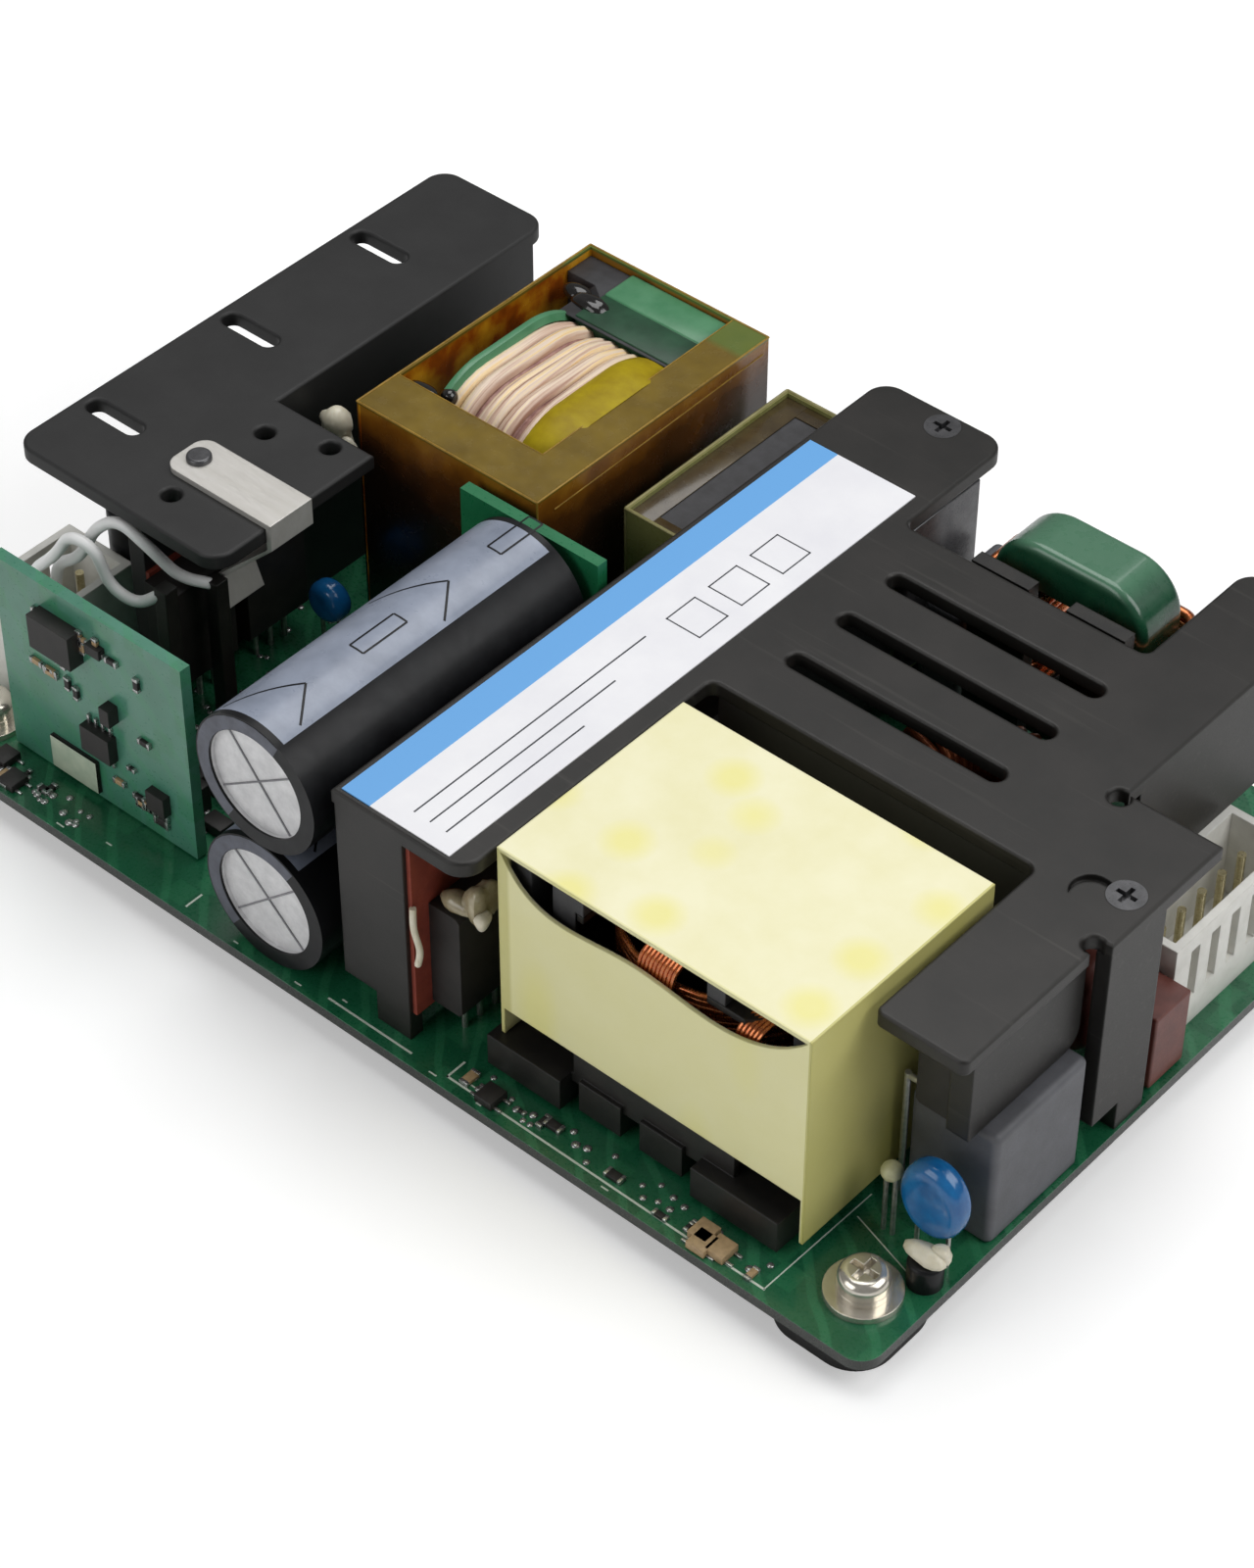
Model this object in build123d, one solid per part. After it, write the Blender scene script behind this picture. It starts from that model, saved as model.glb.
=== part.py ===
from build123d import *
import math
import os

os.makedirs("parts", exist_ok=True)

# All lengths are in millimetres. X runs along the long side of the board, Y along the short
# side, Z is up, and the origin is the middle of the base plate's underside.

# Base plate, insulation and main board
board_length = 152.4
board_width = 101.6
board_thickness = 1.6
board_corner_radius = 3.0
base_thickness = 2.0
base_inset = 2.6
base_corner_radius = 4.0
pad_size = 15.0
pad_inset = 1.2
pad_corner_radius = 5.0
board_gap = 1.4
sheet_thickness = 0.35
sheet_clearance = 1.0
hole_inset_x = 6.8
hole_inset_y = 8.2
screw_shank_radius = 1.45
screw_hole_radius = 1.6
screw_head_radius = 3.0
screw_head_height = 2.3
spring_washer_radius = 3.1
spring_washer_thickness = 0.8
flat_washer_radius = 4.5
flat_washer_thickness = 0.8
mount_spacing_x = 120.0
mount_spacing_y = 70.0
mount_hole_radius = 1.6
seat_gap = 0.05

board_bottom = base_thickness + board_gap
board_top = board_bottom + board_thickness
right_edge = board_length / 2
near_edge = -board_width / 2

# Heatsinks
heatsink_height = 33.1
plate_thickness = 2.0
plate_edge_radius = 0.4
plate_corner_radius = 3.0
arm_corner_radius = 1.0
inner_corner_radius = 1.2
slot_width = 2.6
plate_top = board_top + heatsink_height
plate_bottom = plate_top - plate_thickness

main_left = -3.4
main_near = -47.8
main_far = 49.8
arm_inner = 16.6
cutout_far = -6.4
right_arm_inner = 62.6
right_arm_near = -34.5
right_arm_edge = 74.6
relief_size = 2.6
right_leg_face = 75.9
right_leg_near = -10.6
right_leg_width = 10.0
left_leg_start = -3.0
left_leg_width = 10.2
foot_width = 5.2
foot_step = 4.5
inlet_cut_near = 9.6
inlet_cut_left = 63.2
inlet_wall_depth = 16.0
notch_near = 29.6
notch_left = 16.0
notch_right = 51.2
main_wall_end = 10.0
main_slot_length = 30.8
main_slot_start = 20.6
main_slot_first = 2.5
main_slot_pitch = 9.2
main_slot_count = 3
bar_thickness = 3.0
bar_face = 73.4
bar_near = -31.0
bar_length = 19.6
bar_height = 13.7
bar_corner_radius = 2.5

out_left = -75.0
out_near = -29.3
out_far = 47.0
out_strip_edge = -56.4
out_tab_edge = -40.2
out_tab_far = -2.5
out_web_thickness = 2.6
out_slot_start = -73.6
out_slot_length = 9.0
out_slot_first = -17.9
out_slot_pitch = 23.3
out_slot_count = 3
tap_radius = 1.25

# Plate screws, clip and label
plate_screw_radius = 2.3
plate_screw_points = [(72.4, -3.4), (7.9, 47.2)]
pillar_radius = 2.4
screw_reach = 4.0
crescent_point = (69.3, -5.4)
clip_thickness = 0.8
clip_width = 7.0
clip_start = -57.4
clip_near = -21.0
clip_screw_inset = 1.6
clip_reach = 8.0
clip_screw_radius = 1.6
label_thickness = 0.15
label_left = -2.4
label_right = 13.8
label_near = -47.1
label_far = 34.4

# Power devices, pads and leads
device_width = 10.2
device_height = 15.6
device_thickness = 4.6
device_chamfer = 0.5
device_lift = 4.6
device_pitch = 12.4
pad_thickness = 0.6
pad_margin = 0.6
lead_radius = 0.4
lead_pitch = 2.54
lead_clearance = 0.3
bridge_width = 15.4
bridge_edge = 0.6
bridge_pitch = 3.8
main_device_near = -44.6
main_device_count = 4
out_device_near = -27.2
out_device_count = 2

# Main transformer: a round-post ferrite core on an upright bobbin, wrapped in tape
transformer_left = 17.6
transformer_right = 61.6
transformer_near = -43.6
transformer_far = -12.6
transformer_height = 34.5
tape_thickness = 0.5
tape_lift = 2.6
near_tape_lift = 9.5
tape_opening_drop = 6.4
tape_opening_step = 6.5
core_clearance = 0.15
bobbin_wall = 0.9
transformer_core_lift = 9.0
transformer_back = 4.0
transformer_post_radius = 7.4
transformer_window_radius = 18.4
transformer_coil_radius = 14.3
core_gap_depth = 6.0
core_gaps = [(21.2, 24.3), (28.7, 46.2), (48.7, 58.0)]
rail_height = 4.6
rail_web = 1.4
rail_depth = 5.0
rail_lift = 0.7
rail_set_back = 1.4
rail_front = -45.0
rail_blocks = [(16.6, 11.0, 0), (29.2, 6.2, 1), (38.2, 6.2, 1), (46.8, 12.4, 0)]
pin_radius = 0.45
pin_tail = 0.7

# Boost choke, lying on its side in an amber film box, just past the reservoir capacitors
can_near = -49.0
can_length = 45.0
boost_gap = 4.8
boost_length = 42.7
boost_left = -46.0
boost_right = -16.6
boost_near = can_near + can_length + boost_gap
boost_far = boost_near + boost_length
boost_height = 36.4
film_thickness = 0.35
film_lift = 4.0
boost_near_flap = 7.2
boost_right_flap = 5.6
boost_core_drop = 1.2
boost_core_lift = 8.0
boost_back = 4.6
boost_post_radius = 7.2
boost_window_radius = 16.6
boost_flange_radius = 15.2
boost_gap_start = 7.6
boost_gap_end = 37.8
boost_gap_depth = 9.0
boost_coil_radius = 14.0
choke_leg_size = 4.0
base_plate_wall = 1.6

# Resonant choke, in an olive film box under the main heatsink's left edge
resonant_left = -13.3
resonant_right = 13.2
resonant_near = 12.9
resonant_far = 43.4
resonant_height = 29.9
resonant_rim_drop = 0.8
resonant_core_lift = 6.0
resonant_back = 4.4
resonant_post_radius = 5.8
resonant_window_radius = 13.4
resonant_coil_radius = 12.4

# Line filter choke, in the notch at the far edge
filter_left = 25.4
filter_right = 47.6
filter_near = 34.6
filter_depth = 8.0
filter_height = 35.0
filter_lift = 6.0
filter_limb = 6.2
filter_corner_radius = 6.5
filter_edge_radius = 1.0
filter_coil_wall = 2.2
filter_coil_height = 17.4
filter_flange = 1.4
filter_front_height = 32.4
filter_front_near = 30.4

# Second filter choke, lying on a plastic base under the slots
ring_x = 41.0
ring_y = 11.0
ring_outer = 12.5
ring_inner = 6.5
ring_height = 14.0
ring_coil_wall = 1.8
ring_coil_gap = 7.0
ring_base_size = 25.0
ring_base_thickness = 2.0

# Reservoir capacitors, lying one over the other
can_radius = 9.0
sleeve_thickness = 0.3
can_x = -14.2
can_rim_width = 1.8
can_rim_depth = 0.5
groove_depth = 0.8
groove_setback = 4.0
bung_radius = 6.8
bung_length = 0.8
can_lead_radius = 0.4
can_lead_pitch = 7.5
board_clearance = 1.8

# Output capacitors, standing between the output heatsink's web and the board's edge
out_can_radius = 4.0
out_can_height = 20.0
out_can_x = -67.4
out_can_first = -17.2
out_can_pitch = 10.2
out_can_count = 6
out_can_rim = 0.8

# Upright boards
control_left = -63.8
control_right = -32.0
control_face = -43.4
upright_thickness = 1.6
control_height = 30.4
control_gap = 0.3
carrier_left = -26.2
carrier_right = -4.4
carrier_height = 35.4
header_pitch = 2.54
header_count = 9
header_height = 3.0
control_chips = [
    (-56.4, 1.2, 8.0, 5.0, 0.6),
    (-49.6, 8.6, 4.9, 3.9, 1.4),
    (-45.4, 15.4, 1.6, 2.6, 1.6),
    (-56.0, 21.8, 7.0, 5.0, 2.2),
    (-47.4, 25.0, 2.4, 1.4, 1.0),
    (-39.0, 5.2, 3.0, 3.0, 1.2),
]

# Box and disc capacitors, fuse, varistor and connectors
x_cap_left = 63.9
x_cap_right = 75.6
x_cap_near = -28.6
x_cap_far = -12.2
x_cap_height = 17.0
x_cap_edge = 0.9
second_x_cap_left = 17.0
second_x_cap_width = 5.6
second_x_cap_near = 33.0
second_x_cap_length = 14.6
second_x_cap_height = 20.0
disc_thickness = 3.4
near_disc_radius = 4.2
near_disc_place = (71.8, -33.8)
near_disc_lift = 4.3
near_disc_tall = 1.28
left_disc_radius = 2.9
left_disc_place = (-45.8, -6.0)
left_disc_lift = 6.2
disc_lead_radius = 0.3
thermistor_radius = 1.25
thermistor_place = (66.0, -34.1)
thermistor_lift = 9.9
corner_can_radius = 2.1
corner_can_height = 3.6
corner_can_place = (73.4, -37.0)
fuse_left = 70.0
fuse_width = 5.4
fuse_near = 1.4
fuse_length = 6.6
fuse_height = 11.5
fuse_edge = 0.3
varistor_radius = 7.2
varistor_thickness = 4.2
varistor_x = 67.0
varistor_y = 0.6
varistor_lift = 4.4
inlet_left = 63.0
inlet_right = 72.6
inlet_near = 8.6
inlet_height = 15.0
inlet_ways = 5
inlet_pitch = 3.96
housing_wall = 1.1
housing_floor = 2.4
connector_slot_width = 1.7
contact_radius = 0.55
outlet_left = -75.5
outlet_right = -64.0
outlet_near = -37.6
outlet_height = 15.0
outlet_ways = 3
wire_radius = 0.75
post_size = 2.0
upper_wire_route = [
    (-69.75, -29.68, 12.95),
    (-68.4, -30.0, 17.8),
    (-63.6, -30.2, 21.6),
    (-60.8, -29.8, 27.4),
    (-57.2, -29.1, 30.4),
    (-53.0, -28.4, 28.0),
    (-50.6, -26.0, 23.0),
    (-48.4, -22.4, 20.8),
]
lower_wire_route = [
    (-69.75, -33.64, 12.95),
    (-69.2, -33.5, 18.4),
    (-65.4, -32.6, 22.4),
    (-62.8, -32.2, 26.8),
    (-59.0, -31.8, 26.6),
    (-57.2, -31.3, 21.2),
    (-53.8, -30.3, 19.6),
    (-50.6, -28.6, 22.2),
]


def block(x_range, y_range, z_range):
    """A box between two values on each axis."""
    spans = [x_range, y_range, z_range]
    sizes = [high - low for low, high in spans]
    middle = [(high + low) / 2 for low, high in spans]
    return Pos(*middle) * Box(*sizes)


def rod(start, direction, radius, length):
    """A round bar from a point along a direction."""
    return Solid.make_cylinder(radius, length, Plane(origin=start, z_dir=direction))


def slab(points, z_low, z_high):
    """A flat plate from an outline of corner points."""
    face = make_face(Polyline(*points, close=True))
    return Pos(0, 0, z_low) * extrude(face, z_high - z_low)


def round_upright(shape, radius):
    return fillet(shape.edges().filter_by(Axis.Z), radius)


def inside(low, high, wall):
    return (low + wall, high - wall)


def span(limits):
    return limits[1] - limits[0]


def middle_of(limits):
    return (limits[0] + limits[1]) / 2


def obround(x_start, y_middle, length, width, z_low, z_high):
    sketch = Pos(x_start + length / 2, y_middle) * SlotOverall(length, width)
    return Pos(0, 0, z_low) * extrude(sketch, z_high - z_low)


# Each through-hole lead is noted here, so that the board gets a hole for it
board_holes = []


def through_lead(x, y, top, radius):
    """A round lead from a height down to a short tail under the board."""
    board_holes.append((x, y, radius))
    bottom = board_bottom - pin_tail
    return rod((x, y, bottom), (0, 0, 1), radius, top - bottom)


def save(name, shape):
    """Write one sub-part, as one solid or a group of separate solids."""
    solids = []
    for item in shape if isinstance(shape, list) else [shape]:
        solids.extend(item.solids())
    result = solids[0] if len(solids) == 1 else Compound(children=solids)
    export_step(result, f"parts/{name}.step")


def corner_points():
    x = right_edge - hole_inset_x
    y = -near_edge - hole_inset_y
    return [(x, -y), (x, y), (-x, y), (-x, -y)]


def corner_pad(side_x, side_y, inset, size, z_low, z_high):
    x_out = right_edge - inset
    y_out = -near_edge - inset
    x_range = sorted([side_x * x_out, side_x * (x_out - size)])
    y_range = sorted([side_y * y_out, side_y * (y_out - size)])
    return block(x_range, y_range, (z_low, z_high))


def sign(value):
    return 1 if value > 0 else -1


# Base plate with a broader pad under each corner, and tapped holes for fixing the supply
half_plate_x = right_edge - base_inset
half_plate_y = -near_edge - base_inset
base = block((-half_plate_x, half_plate_x), (-half_plate_y, half_plate_y), (0, base_thickness))
base = round_upright(base, base_corner_radius)
spacers = []
for x, y in corner_points():
    pad = corner_pad(sign(x), sign(y), pad_inset, pad_size, 0, base_thickness)
    base += round_upright(pad, pad_corner_radius)
    spacer = corner_pad(sign(x), sign(y), pad_inset, pad_size, base_thickness, board_bottom)
    spacers.append(round_upright(spacer, pad_corner_radius) - Pos(x, y) * Cylinder(screw_hole_radius, 40))
for x, y in corner_points():
    base -= Pos(x, y) * Cylinder(screw_shank_radius + seat_gap, 10)
for i in (-1, 1):
    for j in (-1, 1):
        base -= Pos(i * mount_spacing_x / 2, j * mount_spacing_y / 2) * Cylinder(mount_hole_radius, 10)
save("base_plate", base)
save("corner_spacers", spacers)

# Insulating sheet on the base plate, cut away round the spacers
sheet_x = half_plate_x - sheet_clearance
sheet_y = half_plate_y - sheet_clearance
sheet = block((-sheet_x, sheet_x), (-sheet_y, sheet_y), (base_thickness, base_thickness + sheet_thickness))
for x, y in corner_points():
    sheet -= corner_pad(sign(x), sign(y), pad_inset, pad_size + sheet_clearance, 0, board_bottom)
for i in (-1, 1):
    for j in (-1, 1):
        hole_radius = mount_hole_radius + sheet_clearance
        sheet -= Pos(i * mount_spacing_x / 2, j * mount_spacing_y / 2) * Cylinder(hole_radius, 10)
save("insulating_sheet", sheet)

# Pan-head screws, each with a spring washer over a broad flat washer
screws = []
spring_washers = []
flat_washers = []
washer_top = board_top + flat_washer_thickness
head_bottom = washer_top + spring_washer_thickness
for x, y in corner_points():
    flat = Pos(x, y, board_top) * extrude(Circle(flat_washer_radius), flat_washer_thickness)
    flat_washers.append(flat - Pos(x, y, board_top) * Cylinder(screw_hole_radius, 4))
    ring = Pos(x, y, washer_top) * extrude(Circle(spring_washer_radius), spring_washer_thickness)
    ring -= Pos(x, y, washer_top) * Cylinder(screw_hole_radius, 4)
    gap = Pos(x, y + spring_washer_radius, washer_top) * Rot(0, 25, 0) * Box(0.5, 4, 4)
    spring_washers.append(ring - gap)
    head = Pos(x, y, head_bottom) * extrude(Circle(screw_head_radius), screw_head_height)
    head = fillet(head.edges().sort_by(Axis.Z)[-1], screw_head_height * 0.55)
    shank = rod((x, y, 0), (0, 0, 1), screw_shank_radius, head_bottom)
    recess = Pos(x, y, head_bottom + screw_head_height) * (Box(3.4, 0.8, 2.4) + Box(0.8, 3.4, 2.4))
    screws.append(head + shank - recess)
save("flat_washers", flat_washers)
save("spring_washers", spring_washers)
save("corner_screws", screws)


# Main heatsink: a stamped plate with a cut-out for the transformer, a notch for the line filter
# choke, an opening over the inlet, and legs and walls bent down to the board
leg_wall = plate_thickness
outline = [
    (main_left, main_near),
    (arm_inner, main_near),
    (arm_inner, cutout_far),
    (right_arm_inner, cutout_far),
    (right_arm_inner, right_arm_near),
    (right_arm_edge, right_arm_near),
    (right_arm_edge, right_leg_near),
    (right_leg_face, right_leg_near),
    (right_leg_face, inlet_cut_near),
    (inlet_cut_left, inlet_cut_near),
    (inlet_cut_left, main_far),
    (notch_right, main_far),
    (notch_right, notch_near),
    (notch_left, notch_near),
    (notch_left, main_far),
    (main_left, main_far),
]
outer_corners = [outline[i] for i in (1, 10, 11, 14, 15)]
arm_corners = [outline[i] for i in (4, 5)]
inner_corners = [outline[i] for i in (2, 3, 12, 13)]


def corner_edges(shape, points):
    edges = shape.edges().filter_by(Axis.Z)
    return [e for e in edges if any(abs(e.center().X - x) + abs(e.center().Y - y) < 0.01 for x, y in points)]


main_plate = slab(outline, plate_bottom, plate_top)
main_plate = fillet(corner_edges(main_plate, outer_corners), plate_corner_radius)
main_plate = fillet(corner_edges(main_plate, arm_corners), arm_corner_radius)
main_plate = fillet(corner_edges(main_plate, inner_corners), inner_corner_radius)
for i in range(main_slot_count):
    y = main_slot_first + i * main_slot_pitch
    main_plate -= obround(main_slot_start, y, main_slot_length, slot_width, plate_bottom - 1, plate_top + 1)
for x, y in [(right_arm_edge, right_leg_near), (inlet_cut_left, inlet_cut_near)]:
    main_plate -= Pos(x - 0.4, y - relief_size / 2 + 0.2, plate_top) * Cylinder(relief_size / 2, 3 * plate_thickness)
top_edges = main_plate.edges().filter_by(lambda e: abs(e.center().Z - plate_top) < 0.01)
main_plate = fillet(top_edges, plate_edge_radius)
for x, y in plate_screw_points:
    main_plate -= Pos(x, y, plate_top - plate_screw_radius / 2) * Cone(0, plate_screw_radius, plate_screw_radius)
    main_plate -= Pos(x, y, plate_top) * Cylinder(tap_radius, 4 * plate_thickness)
crescent = Pos(*crescent_point, plate_top) * (Cylinder(2.6, 1.6) - Pos(0.5, -0.9) * Cylinder(2.5, 3))
main_plate -= crescent

left_leg_end = left_leg_start + left_leg_width
left_leg = block(
    (left_leg_start, left_leg_end), (main_near, main_near + leg_wall), (board_top + foot_step, plate_bottom)
)
left_foot = block(
    (left_leg_end - foot_width, left_leg_end), (main_near, main_near + leg_wall), (board_top, board_top + foot_step)
)
main_wall = block(
    (left_leg_end - leg_wall, left_leg_end),
    (main_near, main_wall_end),
    (board_top + device_lift - 1, plate_bottom),
)
right_leg_far = right_leg_near + right_leg_width
right_leg = block(
    (right_leg_face - leg_wall, right_leg_face), (right_leg_near, right_leg_far), (board_top + foot_step, plate_bottom)
)
right_foot = block(
    (right_leg_face - leg_wall, right_leg_face),
    (right_leg_far - foot_width, right_leg_far),
    (board_top, board_top + foot_step),
)
inlet_wall = block(
    (inlet_cut_left - leg_wall, inlet_cut_left),
    (inlet_cut_near + relief_size, main_far - plate_corner_radius),
    (plate_bottom - inlet_wall_depth, plate_bottom),
)
main_heatsink = main_plate + left_leg + left_foot + main_wall + right_leg + right_foot + inlet_wall
save("main_heatsink", main_heatsink)

# Spreader bar screwed under the right arm, with a rounded lower corner at its far end
bar = block(
    (bar_face - bar_thickness, bar_face), (bar_near, bar_near + bar_length), (plate_bottom - bar_height, plate_bottom)
)
bar_corner = bar.edges().filter_by(Axis.X).group_by(Axis.Y)[-1].sort_by(Axis.Z)[0]
save("spreader_bar", fillet(bar_corner, bar_corner_radius))

# Countersunk screws in the main heatsink's plate, each into a tapped pillar on the board
plate_screws = []
pillars = []
screw_tip = plate_bottom - screw_reach
for x, y in plate_screw_points:
    head = Pos(x, y, plate_top - plate_screw_radius / 2) * Cone(0, plate_screw_radius, plate_screw_radius)
    shank = rod((x, y, screw_tip), (0, 0, 1), tap_radius - seat_gap, screw_reach + plate_thickness / 2)
    recess = Pos(x, y, plate_top) * (Box(2.6, 0.6, 1.6) + Box(0.6, 2.6, 1.6))
    plate_screws.append(head + shank - recess)
    pillar = rod((x, y, board_top), (0, 0, 1), pillar_radius, plate_bottom - board_top)
    pillar -= rod((x, y, screw_tip), (0, 0, 1), tap_radius, screw_reach)
    pillars.append(pillar - block((right_leg_face - leg_wall, right_edge), (y - 5, y + 5), (board_top, plate_bottom)))
save("heatsink_pillars", pillars)

# Output heatsink: a flat plate over one web, with a tab to the right and three slots
out_outline = [
    (out_left, out_near),
    (out_tab_edge, out_near),
    (out_tab_edge, out_tab_far),
    (out_strip_edge, out_tab_far),
    (out_strip_edge, out_far),
    (out_left, out_far),
]
out_plate = slab(out_outline, plate_bottom, plate_top)
out_plate = fillet(corner_edges(out_plate, [out_outline[i] for i in (0, 1, 4, 5)]), plate_corner_radius)
for i in range(out_slot_count):
    y = out_slot_first + i * out_slot_pitch
    out_plate -= obround(out_slot_start, y, out_slot_length, slot_width, plate_bottom - 1, plate_top + 1)
out_holes = [
    (out_tab_edge - 13.0, out_tab_far - 5.5),
    (out_tab_edge - 5.0, out_tab_far - 2.4),
    (out_tab_edge - 13.0, out_near + 5.5),
]
for x, y in out_holes:
    out_plate -= Pos(x, y, plate_top) * Cylinder(tap_radius, 4 * plate_thickness)
top_edges = out_plate.edges().filter_by(lambda e: abs(e.center().Z - plate_top) < 0.01)
out_plate = fillet(top_edges, plate_edge_radius)
clip_screw_x = clip_start + clip_screw_inset
clip_screw_y = clip_near + clip_width / 2
out_web = block(
    (out_strip_edge - out_web_thickness, out_strip_edge),
    (out_near + plate_corner_radius, out_far - plate_corner_radius),
    (board_top, plate_bottom),
)
output_heatsink = out_plate + out_web
save("output_heatsink", output_heatsink)

# Spring clip over the tab, bent in under it to press on the output devices
out_device_face = out_strip_edge + pad_thickness + device_thickness
clip_top = plate_top + clip_thickness
clip_path = [
    (clip_start, clip_top),
    (out_tab_edge + clip_thickness + seat_gap, clip_top),
    (out_tab_edge + clip_thickness + seat_gap, plate_bottom - 1),
    (out_device_face + clip_thickness, plate_top - clip_reach - 6),
    (out_device_face + clip_thickness + 1.6, plate_top - clip_reach - 10),
    (out_device_face + 1.6, plate_top - clip_reach - 10.4),
    (out_device_face, plate_top - clip_reach - 6),
    (out_tab_edge + seat_gap, plate_bottom - 1.2),
    (out_tab_edge + seat_gap, plate_top),
    (clip_start, plate_top),
]
clip_face = make_face(Polyline(*[(x, 0, z) for x, z in clip_path], close=True))
clip = Pos(0, clip_near + clip_width, 0) * extrude(clip_face, clip_width, dir=(0, -1, 0))
clip_corners = [e for e in clip.edges().filter_by(Axis.Z) if abs(e.center().X - clip_start) < 0.01]
clip = fillet(clip_corners, 2.0)
clip -= Pos(clip_screw_x + 1, clip_screw_y, clip_top) * Cylinder(1.0, 4)
save("output_spring_clip", clip)
clip_head = Pos(clip_screw_x + 1, clip_screw_y, clip_top) * extrude(Circle(clip_screw_radius), 0.7)
clip_head = fillet(clip_head.edges().sort_by(Axis.Z)[-1], 0.4)
clip_shank = rod((clip_screw_x + 1, clip_screw_y, plate_top), (0, 0, 1), 1.0 - seat_gap, clip_thickness)
plate_screws.append(clip_head + clip_shank)
save("heatsink_screws", plate_screws)

# Label on the main heatsink
label = block((label_left, label_right), (label_near, label_far), (plate_top, plate_top + label_thickness))
save("rating_label", label)


# Power devices: a moulded body with three leads, its back seated on a thermal pad
def power_device(back_x, near):
    """A body whose back stands against a wall, with the leads straight down from it."""
    low = board_top + device_lift
    x_range = (back_x, back_x + device_thickness)
    body = block(x_range, (near, near + device_width), (low, low + device_height))
    body = chamfer(body.edges().filter_by(Axis.Y).sort_by(Axis.X)[-2:], device_chamfer)
    lead_x = back_x + device_thickness * 0.55
    middle = near + device_width / 2
    leads = [through_lead(lead_x, middle + i * lead_pitch, low, lead_radius) for i in (-1, 0, 1)]
    return body, leads


device_leads = []
main_devices = []
main_pad_face = left_leg_end + pad_thickness
for i in range(main_device_count):
    body, leads = power_device(main_pad_face, main_device_near + i * device_pitch)
    main_devices.append(body)
    device_leads.extend(leads)
save("main_power_devices", main_devices)
output_devices = []
out_pad_face = out_strip_edge + pad_thickness
for i in range(out_device_count):
    body, leads = power_device(out_pad_face, out_device_near + i * device_pitch)
    output_devices.append(body)
    device_leads.extend(leads)
save("output_devices", output_devices)

# Bridge rectifier on the spreader bar, its leads stepped in beside the grey capacitor
bridge_back = bar_face - bar_thickness
bridge_front = bridge_back - device_thickness
bridge_low = plate_bottom - bar_height + bridge_edge
bridge_near = bar_near + bridge_edge
bridge = block(
    (bridge_front, bridge_back), (bridge_near, bridge_near + bridge_width), (bridge_low, plate_bottom - bridge_edge)
)
bridge = chamfer(bridge.edges().filter_by(Axis.Y).sort_by(Axis.X)[:2], device_chamfer)
save("bridge_rectifier", bridge)
step_x = x_cap_left - lead_clearance - lead_radius
step_z = bridge_low + bridge_edge
for i in range(4):
    y = bridge_near + bridge_width / 2 + (i - 1.5) * bridge_pitch
    drop = through_lead(step_x, y, step_z + lead_radius, lead_radius)
    device_leads.append(drop + rod((step_x, y, step_z), (1, 0, 0), lead_radius, bridge_front - step_x))
save("device_leads", device_leads)

pad_low = board_top + device_lift - pad_margin
main_pad = block((left_leg_end, main_pad_face), (main_near + pad_margin, main_wall_end), (pad_low, plate_bottom))
out_pad = block(
    (out_strip_edge, out_pad_face),
    (out_near + plate_corner_radius, out_device_near + out_device_count * device_pitch),
    (pad_low, board_top + device_lift + device_height + pad_margin),
)
save("thermal_pads", [main_pad, out_pad])


# Magnetics: a round-post core in two halves, its bobbin and its coil, all along Z at the origin
def pq_core(width, depth, height, back, post_radius, window_radius):
    """Two mirrored half cores: backs, a round post and two outer legs with hollowed faces."""
    window = Cylinder(window_radius, height - 2 * back) - Cylinder(post_radius, height)
    core = Box(width, depth, height) - window
    upper = Pos(0, 0, height / 4) * Box(width, depth, height / 2)
    return [core & upper, core - upper]


def bobbin(depth, height, back, post_radius, window_radius):
    """A tube round the post with a flange at each end, cut flat at the open sides."""
    length = height - 2 * back - 2 * core_clearance
    form = Cylinder(post_radius + core_clearance + bobbin_wall, length)
    flange = Cylinder(window_radius - core_clearance, bobbin_wall) & Box(3 * window_radius, depth, bobbin_wall)
    for end in (-1, 1):
        form += Pos(0, 0, end * (length - bobbin_wall) / 2) * flange
    return form - Cylinder(post_radius + core_clearance, height)


def coil(height, back, post_radius, coil_radius):
    """The wound copper, filling the bobbin between its flanges."""
    length = height - 2 * back - 2 * core_clearance - 2 * bobbin_wall
    return Cylinder(coil_radius, length) - Cylinder(post_radius + core_clearance + bobbin_wall, height)


# Main transformer, its core's post upright
wall_front = transformer_near + tape_thickness + core_clearance
core_front = wall_front + bobbin_wall
centre_x = (transformer_left + transformer_right) / 2
centre_y = (transformer_near + transformer_far) / 2
core_width = transformer_right - transformer_left - 2 * tape_thickness - 2 * core_clearance
core_depth = 2 * (centre_y - core_front)
core_low = board_top + transformer_core_lift
core_high = board_top + transformer_height - tape_thickness - core_clearance
core_height = core_high - core_low
core_middle = Pos(centre_x, centre_y, (core_low + core_high) / 2)
transformer_round = (transformer_back, transformer_post_radius, transformer_window_radius)
transformer_core = [core_middle * half for half in pq_core(core_width, core_depth, core_height, *transformer_round)]
gap_y = (core_front - 1, core_front + core_gap_depth)
gap_bottom = core_high - transformer_back - core_clearance - bobbin_wall
for gap in core_gaps:
    transformer_core[0] -= block(gap, gap_y, (core_low + core_height / 2, core_high + 1))
save("transformer_core", transformer_core)
winding = coil(core_height, transformer_back, transformer_post_radius, transformer_coil_radius)
save("transformer_winding", core_middle * winding)

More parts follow.
